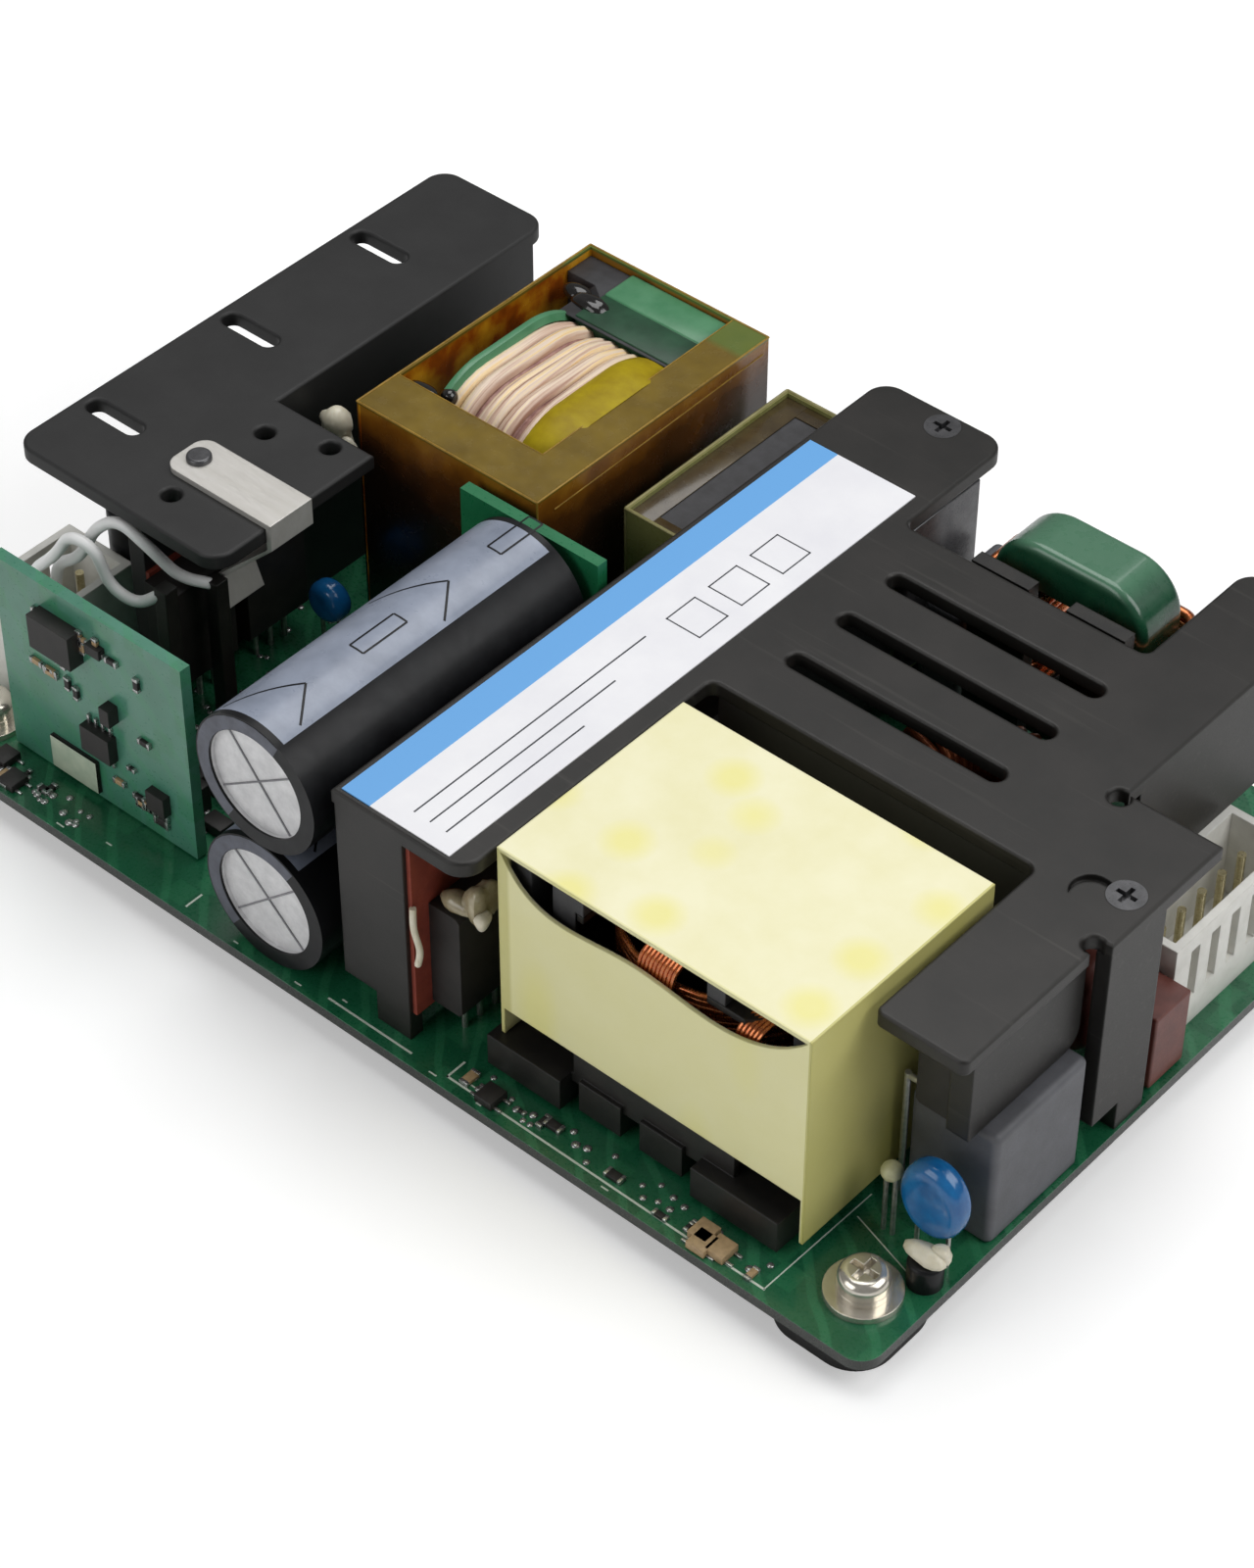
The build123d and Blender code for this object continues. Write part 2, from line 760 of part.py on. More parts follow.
# Its bobbin stands on two pin rails of four blocks each, joined to the lower flange by a wall
form = core_middle * bobbin(core_depth, core_height, *transformer_round)
form -= block(core_gaps[1], gap_y, (gap_bottom, core_high))
mouth = (transformer_window_radius**2 - (core_depth / 2) ** 2) ** 0.5 - 2 * core_clearance
mouth_x = (centre_x - mouth, centre_x + mouth)
rail_low = board_top + rail_lift
rail_high = rail_low + rail_height
flange_low = core_low + transformer_back + core_clearance
rail = block(mouth_x, (wall_front, core_front), (rail_high - rail_web, flange_low + bobbin_wall))
rail += block(mouth_x, (wall_front, core_front + 2 * bobbin_wall), (flange_low, flange_low + bobbin_wall))
rail_right = rail_blocks[-1][0] + rail_blocks[-1][1]
web_y = (wall_front, rail_front + rail_depth)
rail += block((rail_blocks[0][0], rail_right), web_y, (rail_high - rail_web, rail_high))
pins = []
for left, width, step in rail_blocks:
    front = rail_front + step * rail_set_back
    rail += block((left, left + width), (front, rail_front + rail_depth), (rail_low, rail_high))
    for share in (0.25, 0.75):
        for side in (-1, 1):
            y = centre_y + side * (centre_y - rail_front - rail_depth / 2)
            pins.append(through_lead(left + share * width, y, rail_low, pin_radius))
form += rail + mirror(rail, Plane.XZ.offset(-centre_y))
save("transformer_bobbin", form)
save("transformer_pins", pins)

# Tape round the core, open below; its near panel has sagged away from the top
tape_top = board_top + transformer_height
tape_inner_x = (transformer_left + tape_thickness, transformer_right - tape_thickness)
tape_inner_y = (transformer_near + tape_thickness, transformer_far - tape_thickness)
tape = block((transformer_left, transformer_right), (transformer_near, transformer_far), (board_top + tape_lift, tape_top))
tape -= block(tape_inner_x, tape_inner_y, (0, tape_top - tape_thickness))
tape -= block(tape_inner_x, (transformer_near - 1, transformer_far + 1), (0, board_top + near_tape_lift))
tape -= block(
    (transformer_left - 1, tape_inner_x[0]), (transformer_near - 1, transformer_far + 1), (0, rail_high + core_clearance)
)
lens_top = tape_top - tape_thickness
lens_low = tape_top - tape_opening_drop
lens_left = transformer_left + tape_opening_step
lens_right = transformer_right - 2 * tape_opening_step
sag = Spline(
    (tape_inner_x[0], lens_top),
    (lens_left, lens_low + tape_thickness),
    ((lens_left + lens_right) / 2, lens_low + 2 * tape_thickness),
    (lens_right, lens_low),
    (tape_inner_x[1], lens_top),
)
lens = make_face(sag + Line((tape_inner_x[1], lens_top), (tape_inner_x[0], lens_top)))
lens = Plane(origin=(0, tape_inner_y[0], 0), x_dir=(1, 0, 0), z_dir=(0, -1, 0)) * lens
tape -= extrude(lens, 2 * tape_thickness)
save("transformer_tape", tape)


# Chokes in film boxes, each on a plastic base with four pins
def choke_base(x_range, y_range, lift):
    """A plate under the core, on four legs with a pin in each."""
    plate = block(x_range, y_range, (board_top + lift - base_plate_wall, board_top + lift))
    plate -= block(inside(*x_range, choke_leg_size), inside(*y_range, choke_leg_size), (board_top, board_top + 2 * lift))
    base_pins = []
    for x in (x_range[0] + choke_leg_size / 2, x_range[1] - choke_leg_size / 2):
        for y in (y_range[0] + choke_leg_size / 2, y_range[1] - choke_leg_size / 2):
            leg = Box(choke_leg_size, choke_leg_size, lift, align=(Align.CENTER, Align.CENTER, Align.MIN))
            plate += Pos(x, y, board_top) * leg
            base_pins.append(through_lead(x, y, board_top, pin_radius))
    return plate, base_pins


# Boost choke: the core lies with its post along X, so that the coil shows from above
boost_x = inside(boost_left, boost_right, film_thickness + core_clearance)
boost_y = inside(boost_near, boost_far, film_thickness + core_clearance)
boost_z = (board_top + boost_core_lift, board_top + boost_height - boost_core_drop)
boost_place = Pos(middle_of(boost_x), middle_of(boost_y), middle_of(boost_z)) * Rot(0, 90, 0) * Rot(0, 0, 90)
boost_round = (boost_back, boost_post_radius, boost_window_radius)
boost_core = pq_core(span(boost_y), span(boost_z), span(boost_x), *boost_round)
gap_x = (boost_left, boost_x[0] + boost_back)
gap_range = (boost_near + boost_gap_start, boost_near + boost_gap_end)
core_gap = block(gap_x, gap_range, (boost_z[1] - boost_gap_depth, boost_z[1] + 1))
save("boost_choke_core", [boost_place * half - core_gap for half in boost_core])
boost_form = bobbin(span(boost_z), span(boost_x), boost_back, boost_post_radius, boost_flange_radius)
save("boost_choke_bobbin", boost_place * boost_form)
save("boost_choke_winding", boost_place * coil(span(boost_x), boost_back, boost_post_radius, boost_coil_radius))
boost_top = board_top + boost_height
film = block((boost_left, boost_right), (boost_near, boost_far), (board_top + film_lift, boost_top))
film -= block(
    inside(boost_left, boost_right, film_thickness),
    inside(boost_near, boost_far, film_thickness),
    (board_top, boost_top - film_thickness),
)
film -= block(
    (boost_left + film_thickness, boost_right - boost_right_flap),
    (boost_near + boost_near_flap, boost_far - film_thickness),
    (board_top, boost_top + film_thickness),
)
save("boost_choke_film", film)
boost_base, choke_pins = choke_base(boost_x, boost_y, boost_core_lift)

# Resonant choke: its post upright, so that the flat back of the core shows inside the film's rim
resonant_x = inside(resonant_left, resonant_right, film_thickness + core_clearance)
resonant_y = inside(resonant_near, resonant_far, film_thickness + core_clearance)
resonant_z = (board_top + resonant_core_lift, board_top + resonant_height - resonant_rim_drop)
resonant_place = Pos(middle_of(resonant_x), middle_of(resonant_y), middle_of(resonant_z)) * Rot(0, 0, 90)
resonant_round = (resonant_back, resonant_post_radius, resonant_window_radius)
resonant_core = pq_core(span(resonant_y), span(resonant_x), span(resonant_z), *resonant_round)
save("resonant_choke_core", [resonant_place * half for half in resonant_core])
save("resonant_choke_bobbin", resonant_place * bobbin(span(resonant_x), span(resonant_z), *resonant_round))
winding = coil(span(resonant_z), resonant_back, resonant_post_radius, resonant_coil_radius)
save("resonant_choke_winding", resonant_place * winding)
resonant_top = board_top + resonant_height
film = block((resonant_left, resonant_right), (resonant_near, resonant_far), (board_top + film_lift, resonant_top))
film -= block(
    inside(resonant_left, resonant_right, film_thickness),
    inside(resonant_near, resonant_far, film_thickness),
    (board_top, resonant_top + film_thickness),
)
save("resonant_choke_film", film)
resonant_base, more_pins = choke_base(resonant_x, resonant_y, resonant_core_lift)
choke_pins += more_pins

# Line filter choke: an upright rounded ring with a coil and a bobbin on each upright limb
filter_low = board_top + filter_lift
filter_high = board_top + filter_height
filter_y = (filter_near, filter_near + filter_depth)
ring = block((filter_left, filter_right), filter_y, (filter_low, filter_high))
ring = fillet(ring.edges().filter_by(Axis.Y), filter_corner_radius)
ring -= block(
    inside(filter_left, filter_right, filter_limb),
    (filter_near - 1, filter_near + filter_depth + 1),
    inside(filter_low, filter_high, filter_limb),
)
outer_rim = [e for e in ring.edges() if abs(e.center().Z - filter_high) < filter_edge_radius]
ring = fillet(outer_rim, filter_edge_radius)
save("filter_choke_core", ring)
filter_coils = []
filter_bobbins = []
filter_pins = []
coil_low = filter_low + filter_limb + filter_flange
coil_high = coil_low + filter_coil_height - 2 * filter_flange
coil_y = (filter_near - filter_coil_wall, filter_near + filter_depth + filter_coil_wall)
for limb_x, toward in ((filter_left + filter_limb / 2, -1), (filter_right - filter_limb / 2, 1)):
    reach = filter_limb / 2 + filter_coil_wall
    limb = block((limb_x - filter_limb / 2, limb_x + filter_limb / 2), filter_y, (0, filter_high))
    turns = block((limb_x - reach, limb_x + reach), coil_y, (coil_low, coil_high))
    filter_coils.append(round_upright(turns, filter_coil_wall) - limb)
    front_x = sorted([limb_x - toward * reach, limb_x + toward * (reach - filter_coil_wall)])
    front = block(front_x, (filter_front_near, coil_y[0]), (filter_low, board_top + filter_front_height))
    flange = block((limb_x - reach, limb_x + reach), (filter_front_near, coil_y[1]), (coil_low - filter_flange, coil_low))
    filter_bobbins.append(front + flange - limb)
    filter_pins.append(through_lead(limb_x, (filter_front_near + coil_y[0]) / 2, filter_low, pin_radius))
    filter_pins.append(through_lead(limb_x, coil_y[1] - filter_coil_wall / 2, coil_low - filter_flange, pin_radius))
save("filter_choke_windings", filter_coils)
save("filter_choke_bobbins", filter_bobbins)

# Second filter choke: a ring lying flat, with two half windings, on a square base
ring_middle = board_top + ring_base_thickness + ring_coil_wall + ring_height / 2
lying_ring = Cylinder(ring_outer, ring_height) - Cylinder(ring_inner, ring_height)
save("ring_choke_core", Pos(ring_x, ring_y, ring_middle) * lying_ring)
turns_height = ring_height + 2 * ring_coil_wall
turns = Cylinder(ring_outer + ring_coil_wall, turns_height) - Cylinder(ring_inner - ring_coil_wall, turns_height)
turns = turns - lying_ring - Box(3 * ring_outer, ring_coil_gap, turns_height)
save("ring_choke_windings", Pos(ring_x, ring_y, ring_middle) * turns)
half_base = ring_base_size / 2
ring_base = block(
    (ring_x - half_base, ring_x + half_base),
    (ring_y - half_base, ring_y + half_base),
    (board_top, board_top + ring_base_thickness),
)
ring_base = round_upright(ring_base, ring_base_thickness)
save("choke_bases", [boost_base, resonant_base, ring_base])
for x in (-half_base + 2, half_base - 2):
    for y in (-half_base + 2, half_base - 2):
        filter_pins.append(through_lead(ring_x + x, ring_y + y, board_top, pin_radius))
save("choke_pins", choke_pins + filter_pins)


# Reservoir capacitors, lying along Y, with their leads through an upright carrier board
def turned(profile):
    """A solid of revolution about Z, from an outline given as radius and height."""
    return revolve(make_face(Polyline(*[(r, 0, z) for r, z in profile], close=True)), Axis.Z)


can_profile = [
    (0, can_rim_depth),
    (can_radius - can_rim_width, can_rim_depth),
    (can_radius - can_rim_width, 0),
    (can_radius, 0),
    (can_radius, can_length - groove_setback - groove_depth),
    (can_radius - groove_depth, can_length - groove_setback),
    (can_radius, can_length - groove_setback + groove_depth),
    (can_radius, can_length),
    (bung_radius, can_length),
    (bung_radius, can_length - bung_length),
    (0, can_length - bung_length),
]
can = turned(can_profile)
sleeve_reach = can_length + sleeve_thickness
sleeve_profile = [
    (can_radius - can_rim_width, -sleeve_thickness),
    (can_radius + sleeve_thickness, -sleeve_thickness),
    (can_radius + sleeve_thickness, sleeve_reach),
    (bung_radius, sleeve_reach),
    (bung_radius, can_length),
    (can_radius, can_length),
    (can_radius, 0),
    (can_radius - can_rim_width, 0),
]
sleeve = turned(sleeve_profile)
bung = Pos(0, 0, can_length - bung_length / 2) * Cylinder(bung_radius, bung_length)
carrier_near = can_near + can_length + board_clearance
carrier = block(
    (carrier_left, carrier_right),
    (carrier_near, carrier_near + upright_thickness),
    (board_top, board_top + carrier_height),
)
cans = []
sleeves = []
bungs = []
can_leads = []
sleeve_radius = can_radius + sleeve_thickness
for z in (board_top + sleeve_radius, board_top + 3 * sleeve_radius):
    place = Pos(can_x, can_near, z) * Rot(-90, 0, 0)
    cans.append(place * can)
    sleeves.append(place * sleeve)
    lead_length = carrier_near + upright_thickness + pin_tail - can_near - can_length
    for side in (-1, 1):
        lead_start = (can_x + side * can_lead_pitch / 2, can_near + can_length, z)
        can_leads.append(rod(lead_start, (0, 1, 0), can_lead_radius, lead_length))
        carrier -= rod(lead_start, (0, 1, 0), can_lead_radius, lead_length)
    bungs.append(place * bung)
save("reservoir_capacitors", cans)
save("capacitor_sleeves", sleeves)
save("capacitor_bungs", bungs)
save("capacitor_leads", can_leads)
save("capacitor_board", carrier)

# Output capacitors in a row behind the output heatsink's web
out_cans = []
for i in range(out_can_count):
    body = Cylinder(out_can_radius, out_can_height, align=(Align.CENTER, Align.CENTER, Align.MIN))
    body = fillet(body.edges().sort_by(Axis.Z)[-1], out_can_rim)
    y = out_can_first + i * out_can_pitch
    out_cans.append(Pos(out_can_x, y, board_top) * body)
save("output_capacitors", out_cans)

# Control board along the near edge, with a row of header pins at its foot and chips on its face
control = block(
    (control_left, control_right),
    (control_face, control_face + upright_thickness),
    (board_top + control_gap, board_top + control_height),
)
save("control_board", control)
header_pins = []
pin_y = control_face + upright_thickness + lead_radius
for i in range(header_count):
    x = (control_left + control_right) / 2 + (i - (header_count - 1) / 2) * header_pitch
    header_pins.append(through_lead(x, pin_y, board_top + header_height, lead_radius))
save("header_pins", header_pins)
chips = []
for x, z, width, height, thickness in control_chips:
    chips.append(
        block((x, x + width), (control_face - thickness, control_face), (board_top + z, board_top + z + height))
    )
save("control_chips", chips)


# Box capacitors with rounded edges
def box_capacitor(x_range, y_range, height):
    body = block(x_range, y_range, (board_top + control_gap, board_top + height))
    body = round_upright(body, x_cap_edge)
    return fillet(body.edges().group_by(Axis.Z)[-1], x_cap_edge)


near_cap = box_capacitor((x_cap_left, x_cap_right), (x_cap_near, x_cap_far), x_cap_height)
second_right = second_x_cap_left + second_x_cap_width
second_far = second_x_cap_near + second_x_cap_length
far_cap = box_capacitor(
    (second_x_cap_left, second_right), (second_x_cap_near, second_far), second_x_cap_height
)
save("box_capacitors", [near_cap, far_cap])
small_leads = []


def skin_lead(x, y, inside_height, body):
    """A lead that ends on the skin of a dipped body."""
    return through_lead(x, y, board_top + inside_height, disc_lead_radius) - body


for x_range, y_range in [
    ((x_cap_left, x_cap_right), (x_cap_near, x_cap_far)),
    ((second_x_cap_left, second_right), (second_x_cap_near, second_far)),
]:
    for y in (y_range[0] + 2.5, y_range[1] - 2.5):
        small_leads.append(through_lead(middle_of(x_range), y, board_top + control_gap, disc_lead_radius))


# Disc capacitors, dipped in blue, standing on two leads
def disc(radius, thickness, place, lift, tall=1):
    body = Cylinder(radius, thickness)
    body = fillet(body.edges(), thickness * 0.42)
    body = scale(body, by=(1, tall, 1))
    return Pos(*place, board_top + lift + radius * tall) * Rot(90, 0, 0) * body


near_disc = disc(near_disc_radius, disc_thickness, near_disc_place, near_disc_lift, near_disc_tall)
left_disc = disc(left_disc_radius, disc_thickness, left_disc_place, left_disc_lift)
for body, radius, place, lift in [
    (near_disc, near_disc_radius, near_disc_place, near_disc_lift),
    (left_disc, left_disc_radius, left_disc_place, left_disc_lift),
]:
    for side in (-1, 1):
        small_leads.append(skin_lead(place[0] + side * radius / 2, place[1], lift + radius / 2, body))
thermistor = Pos(*thermistor_place, board_top + thermistor_lift) * Sphere(thermistor_radius)
for side in (-1, 1):
    x = thermistor_place[0] + side * thermistor_radius / 2
    small_leads.append(skin_lead(x, thermistor_place[1], thermistor_lift, thermistor))
varistor = fillet(Cylinder(varistor_radius, varistor_thickness).edges(), varistor_thickness * 0.35)
varistor = Pos(varistor_x, varistor_y, board_top + varistor_lift + varistor_radius) * Rot(0, 90, 0) * varistor
for side in (-1, 1):
    y = varistor_y + side * varistor_radius / 2
    small_leads.append(skin_lead(varistor_x, y, varistor_lift + varistor_radius / 2, varistor))
save("disc_capacitors", [near_disc, left_disc])
save("thermistor", thermistor)
save("varistor", varistor)
corner_can = Pos(*corner_can_place, board_top) * Cylinder(
    corner_can_radius, corner_can_height, align=(Align.CENTER, Align.CENTER, Align.MIN)
)
save("corner_capacitor", fillet(corner_can.edges().sort_by(Axis.Z)[-1], corner_can_radius / 4))

# Boxed fuse
fuse = block(
    (fuse_left, fuse_left + fuse_width),
    (fuse_near, fuse_near + fuse_length),
    (board_top + control_gap, board_top + fuse_height),
)
save("boxed_fuse", fillet(fuse.edges(), fuse_edge))
for y in (fuse_near + 1.4, fuse_near + fuse_length - 1.4):
    small_leads.append(through_lead(fuse_left + fuse_width / 2, y, board_top + control_gap, disc_lead_radius))
save("small_part_leads", small_leads)


# Connectors: an open-topped housing with a slot in its front wall and a contact in every way
def housing(x_range, y_range, height, wall, floor, ways, pitch, front_x):
    """A header housing; front_x is the side, low or high, that has the slots."""
    body = block(x_range, y_range, (board_top, board_top + height))
    body -= block(inside(*x_range, wall), inside(*y_range, wall), (board_top + floor, board_top + height + 1))
    contacts = []
    for i in range(ways):
        y = middle_of(y_range) + (i - (ways - 1) / 2) * pitch
        slot_y = (y - connector_slot_width / 2, y + connector_slot_width / 2)
        front = x_range[front_x]
        body -= block(
            (front - wall - 0.1, front + wall + 0.1), slot_y, (board_top + 2 * floor, board_top + height - 2 * wall)
        )
        body -= rod((middle_of(x_range), y, board_top), (0, 0, 1), contact_radius, floor + 1)
        contacts.append(through_lead(middle_of(x_range), y, board_top + height - 2 * wall, contact_radius))
    return body, contacts


inlet_y = (inlet_near, inlet_near + (inlet_ways + 1) * inlet_pitch)
inlet, contacts = housing(
    (inlet_left, inlet_right), inlet_y, inlet_height, housing_wall, housing_floor, inlet_ways, inlet_pitch, 1
)
save("inlet_connector", inlet)
outlet_y = (outlet_near, outlet_near + (outlet_ways + 1) * inlet_pitch)
outlet, more_contacts = housing(
    (outlet_left, outlet_right), outlet_y, outlet_height, housing_wall, housing_floor, outlet_ways, inlet_pitch, 0
)
save("output_connector", outlet)
save("connector_contacts", contacts + more_contacts)


# Two white wires from the output connector to posts beside the output devices
def wire(route):
    """A tube of straight runs joined by arcs, each as large as its two runs allow."""
    points = [Vector(x, y, board_top + z) for x, y, z in route]
    radii = []
    for before, at, after in zip(points, points[1:], points[2:]):
        turn = math.radians((at - before).get_angle(after - at))
        shorter = min((at - before).length, (after - at).length)
        radii.append(0.45 * shorter / math.tan(turn / 2))
    print("wire bend radii", [round(radius, 1) for radius in radii])
    path = FilletPolyline(*points, radius=radii)
    start = Plane(origin=path @ 0, z_dir=path % 0)
    tube = sweep(start * Circle(wire_radius), path=path)
    print("wire volume over section times length", tube.volume / (math.pi * wire_radius**2 * path.length))
    return tube


wires = []
posts = []
for route in (upper_wire_route, lower_wire_route):
    end_x, end_y, end_z = route[-1]
    post = block(
        (end_x - wire_radius, end_x - wire_radius + post_size),
        (end_y - post_size / 2, end_y + post_size / 2),
        (board_top, board_top + end_z + post_size / 2),
    )
    posts.append(post)
    wires.append(wire(route) - post)
save("output_wires", wires)
save("wire_posts", posts)

# Main board, with a plain hole at each corner and one for every lead
board = block((-right_edge, right_edge), (near_edge, -near_edge), (board_bottom, board_top))
board = round_upright(board, board_corner_radius)
for x, y in corner_points():
    board -= Pos(x, y, board_top) * Cylinder(screw_hole_radius, 4 * board_thickness)
holes = [rod((x, y, board_bottom), (0, 0, 1), radius, board_thickness) for x, y, radius in board_holes]
save("main_board", board - Compound(children=holes))
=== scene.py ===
import math
import random

import bmesh
import bpy
from mathutils import Matrix, Vector


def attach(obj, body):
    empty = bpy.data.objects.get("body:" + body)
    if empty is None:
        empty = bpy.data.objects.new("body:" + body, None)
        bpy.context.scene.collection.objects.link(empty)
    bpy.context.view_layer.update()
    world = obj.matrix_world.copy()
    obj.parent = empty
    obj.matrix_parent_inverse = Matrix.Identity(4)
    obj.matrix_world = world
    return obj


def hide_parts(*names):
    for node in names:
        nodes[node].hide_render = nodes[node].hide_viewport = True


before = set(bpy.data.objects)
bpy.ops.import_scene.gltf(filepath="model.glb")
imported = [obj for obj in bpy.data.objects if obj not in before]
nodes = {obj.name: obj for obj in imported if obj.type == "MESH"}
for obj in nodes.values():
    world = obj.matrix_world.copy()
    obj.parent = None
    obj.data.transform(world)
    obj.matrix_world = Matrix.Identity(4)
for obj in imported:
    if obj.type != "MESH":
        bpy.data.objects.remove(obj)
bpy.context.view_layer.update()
mm = 0.001
boardTop = 5.0  # height of the main board's upper face above the base plate's underside, mm
print("frame loaded:", len(nodes), "nodes")


def at(x, y, z):
    # a place in mm, its height counted from the main board's upper face
    return Vector((x * mm, y * mm, (z + boardTop) * mm))


def linear(hexText):
    # "#rrggbb" as it is seen, to the linear colour that the shaders take
    parts = [int(hexText[i:i + 2], 16) / 255 for i in (1, 3, 5)]
    return tuple(c / 12.92 if c <= 0.04045 else ((c + 0.055) / 1.055) ** 2.4 for c in parts) + (1.0,)


def addNode(tree, kind, inputs=None, stops=None, **settings):
    # one node with its socket values or links, a ramp's colour stops and its settings; gives its outputs
    node = tree.nodes.new(kind)
    for name, value in settings.items():
        setattr(node, name, value)
    for name, value in (inputs or {}).items():
        if isinstance(value, bpy.types.NodeSocket):
            tree.links.new(value, node.inputs[name])
        else:
            node.inputs[name].default_value = value
    if stops:
        while len(node.color_ramp.elements) < len(stops):
            node.color_ramp.elements.new(0.5)
        for element, (place, colour) in zip(node.color_ramp.elements, stops):
            element.position = place
            element.color = linear(colour)
    return node.outputs


# Camera, floor and light

camera = {
    "place": (235.3, -272.1, 347.6),  # mm
    "azimuth": 41.06,                 # degrees, turned left from looking along +Y
    "elevation": 43.45,               # degrees, looking down
    "roll": 0.15,
    "lens": 93.65,                    # mm, on a frame 36 mm high
}
eye = bpy.data.objects.new("camera", bpy.data.cameras.new("camera"))
eye.data.sensor_fit = "VERTICAL"
eye.data.sensor_height = 36
eye.data.lens = camera["lens"]
eye.data.clip_start = 0.01
eye.location = Vector(camera["place"]) * mm
eye.rotation_euler = (
    Matrix.Rotation(math.radians(camera["azimuth"]), 3, "Z")
    @ Matrix.Rotation(math.radians(90 - camera["elevation"]), 3, "X")
    @ Matrix.Rotation(math.radians(camera["roll"]), 3, "Z")
).to_euler()
bpy.context.scene.collection.objects.link(eye)
bpy.context.scene.camera = eye
bpy.context.scene.view_settings.view_transform = "Standard"

studio = {
    "room": 0.16,       # strength of the even light from all round
    "paper": 0.86,      # how much light the floor gives back
    "glow": 0.3,        # added where the camera sees the floor, so that it looks white
    "lamps": {          # soft square lamps: power in W, width, place and aim in mm
        "roofLamp": (2.3, 500, (-120, 160, 620), (0, 0, 20)),    # over the far left
        "rightLamp": (1.7, 420, (430, 160, 430), (20, 0, 20)),   # high on the right
        "frontLamp": (1.1, 420, (-160, -560, 300), (0, 0, 20)),  # in front, for the near faces
    },
}
for name, (power, width, place, aim) in studio["lamps"].items():
    lamp = bpy.data.lights.new(name, "AREA")
    lamp.energy = power
    lamp.size = width * mm
    holder = bpy.data.objects.new(name, lamp)
    holder.location = Vector(place) * mm
    holder.rotation_euler = (Vector(aim) - Vector(place)).to_track_quat("-Z", "Y").to_euler()
    bpy.context.scene.collection.objects.link(holder)

room = bpy.data.worlds.new("room")
room.use_nodes = True
room.node_tree.nodes.clear()
roomLight = addNode(room.node_tree, "ShaderNodeBackground", {
    "Color": (1, 1, 1, 1), "Strength": studio["room"]})
addNode(room.node_tree, "ShaderNodeOutputWorld", {"Surface": roomLight["Background"]})
bpy.context.scene.world = room

floorMesh = bpy.data.meshes.new("floor")
floorMesh.from_pydata([(-3, -3, 0), (3, -3, 0), (3, 3, 0), (-3, 3, 0)], [], [(0, 1, 2, 3)])
floor = bpy.data.objects.new("floor", floorMesh)
bpy.context.scene.collection.objects.link(floor)
paper = bpy.data.materials.new("studioPaper")  # matt white paper sweep
paper.use_nodes = True
paper.node_tree.nodes.clear()
paperSeen = addNode(paper.node_tree, "ShaderNodeLightPath")
paperSurface = addNode(paper.node_tree, "ShaderNodeBsdfDiffuse", {
    "Color": (studio["paper"], studio["paper"], studio["paper"], 1)})
paperGlow = addNode(paper.node_tree, "ShaderNodeEmission", {
    "Color": (1, 1, 1, 1), "Strength": studio["glow"]})
paperSum = addNode(paper.node_tree, "ShaderNodeAddShader", {0: paperSurface[0], 1: paperGlow[0]})
paperMix = addNode(paper.node_tree, "ShaderNodeMixShader", {
    "Fac": paperSeen["Is Camera Ray"], 1: paperSurface[0], 2: paperSum[0]})
addNode(paper.node_tree, "ShaderNodeOutputMaterial", {"Surface": paperMix[0]})
floorMesh.materials.append(paper)
print("camera, floor and light done")


# Materials

def span(value, low, high, start, end):
    # a value that runs from low to high, carried over to run from start to end
    return {"Value": value, "From Min": low, "From Max": high, "To Min": start, "To Max": end}


def makeFinish(name, colour, shade, patch=5.0, rough=(0.4, 0.5), grain=0.3, bump=0.1, depth=0.02,
               stretch=(1, 1, 1), edge=0.0, paint=None, **sockets):
    # A real surface: two near colours in patches (mm), a grain (mm) that moves roughness and bump,
    # and edge, the radius in mm by which sharp edges look rounded. paint draws over the colour.
    material = bpy.data.materials.new(name)
    material.use_nodes = True
    tree = material.node_tree
    tree.nodes.clear()
    place = addNode(tree, "ShaderNodeTexCoord")["Object"]
    spread = addNode(tree, "ShaderNodeMapping", {"Vector": place, "Scale": stretch})["Vector"]
    patches = addNode(tree, "ShaderNodeTexNoise", {
        "Vector": spread, "Scale": 1 / (patch * mm), "Detail": 5.0, "Roughness": 0.6})
    look = addNode(tree, "ShaderNodeValToRGB", {"Fac": patches["Fac"]}, stops=[
        (0.34, colour), (0.66, shade)])["Color"]
    if paint:
        look = paint(tree, place, look)
    grains = addNode(tree, "ShaderNodeTexNoise", {
        "Vector": spread, "Scale": 1 / (grain * mm), "Detail": 3.0, "Roughness": 0.55})
    dull = addNode(tree, "ShaderNodeMapRange", span(grains["Fac"], 0.3, 0.7, rough[0], rough[1]))
    rounded = {}
    if edge:
        rounded["Normal"] = addNode(tree, "ShaderNodeBevel", {"Radius": edge * mm}, samples=4)["Normal"]
    relief = addNode(tree, "ShaderNodeBump", {
        "Height": grains["Fac"], "Strength": bump, "Distance": depth * mm, **rounded})
    shader = addNode(tree, "ShaderNodeBsdfPrincipled", {
        "Base Color": look, "Roughness": dull["Result"], "Normal": relief["Normal"], **sockets})
    addNode(tree, "ShaderNodeOutputMaterial", {"Surface": shader["BSDF"]})
    material.diffuse_color = linear(colour)
    return material


def coat(weight, roughness):
    # a clear layer on top
    return {"Coat Weight": weight, "Coat Roughness": roughness}


def milky(weight, *reach):
    # light that goes in and comes out again, reach in mm for red, green and blue
    return {"Subsurface Weight": weight, "Subsurface Radius": tuple(r * mm for r in reach)}


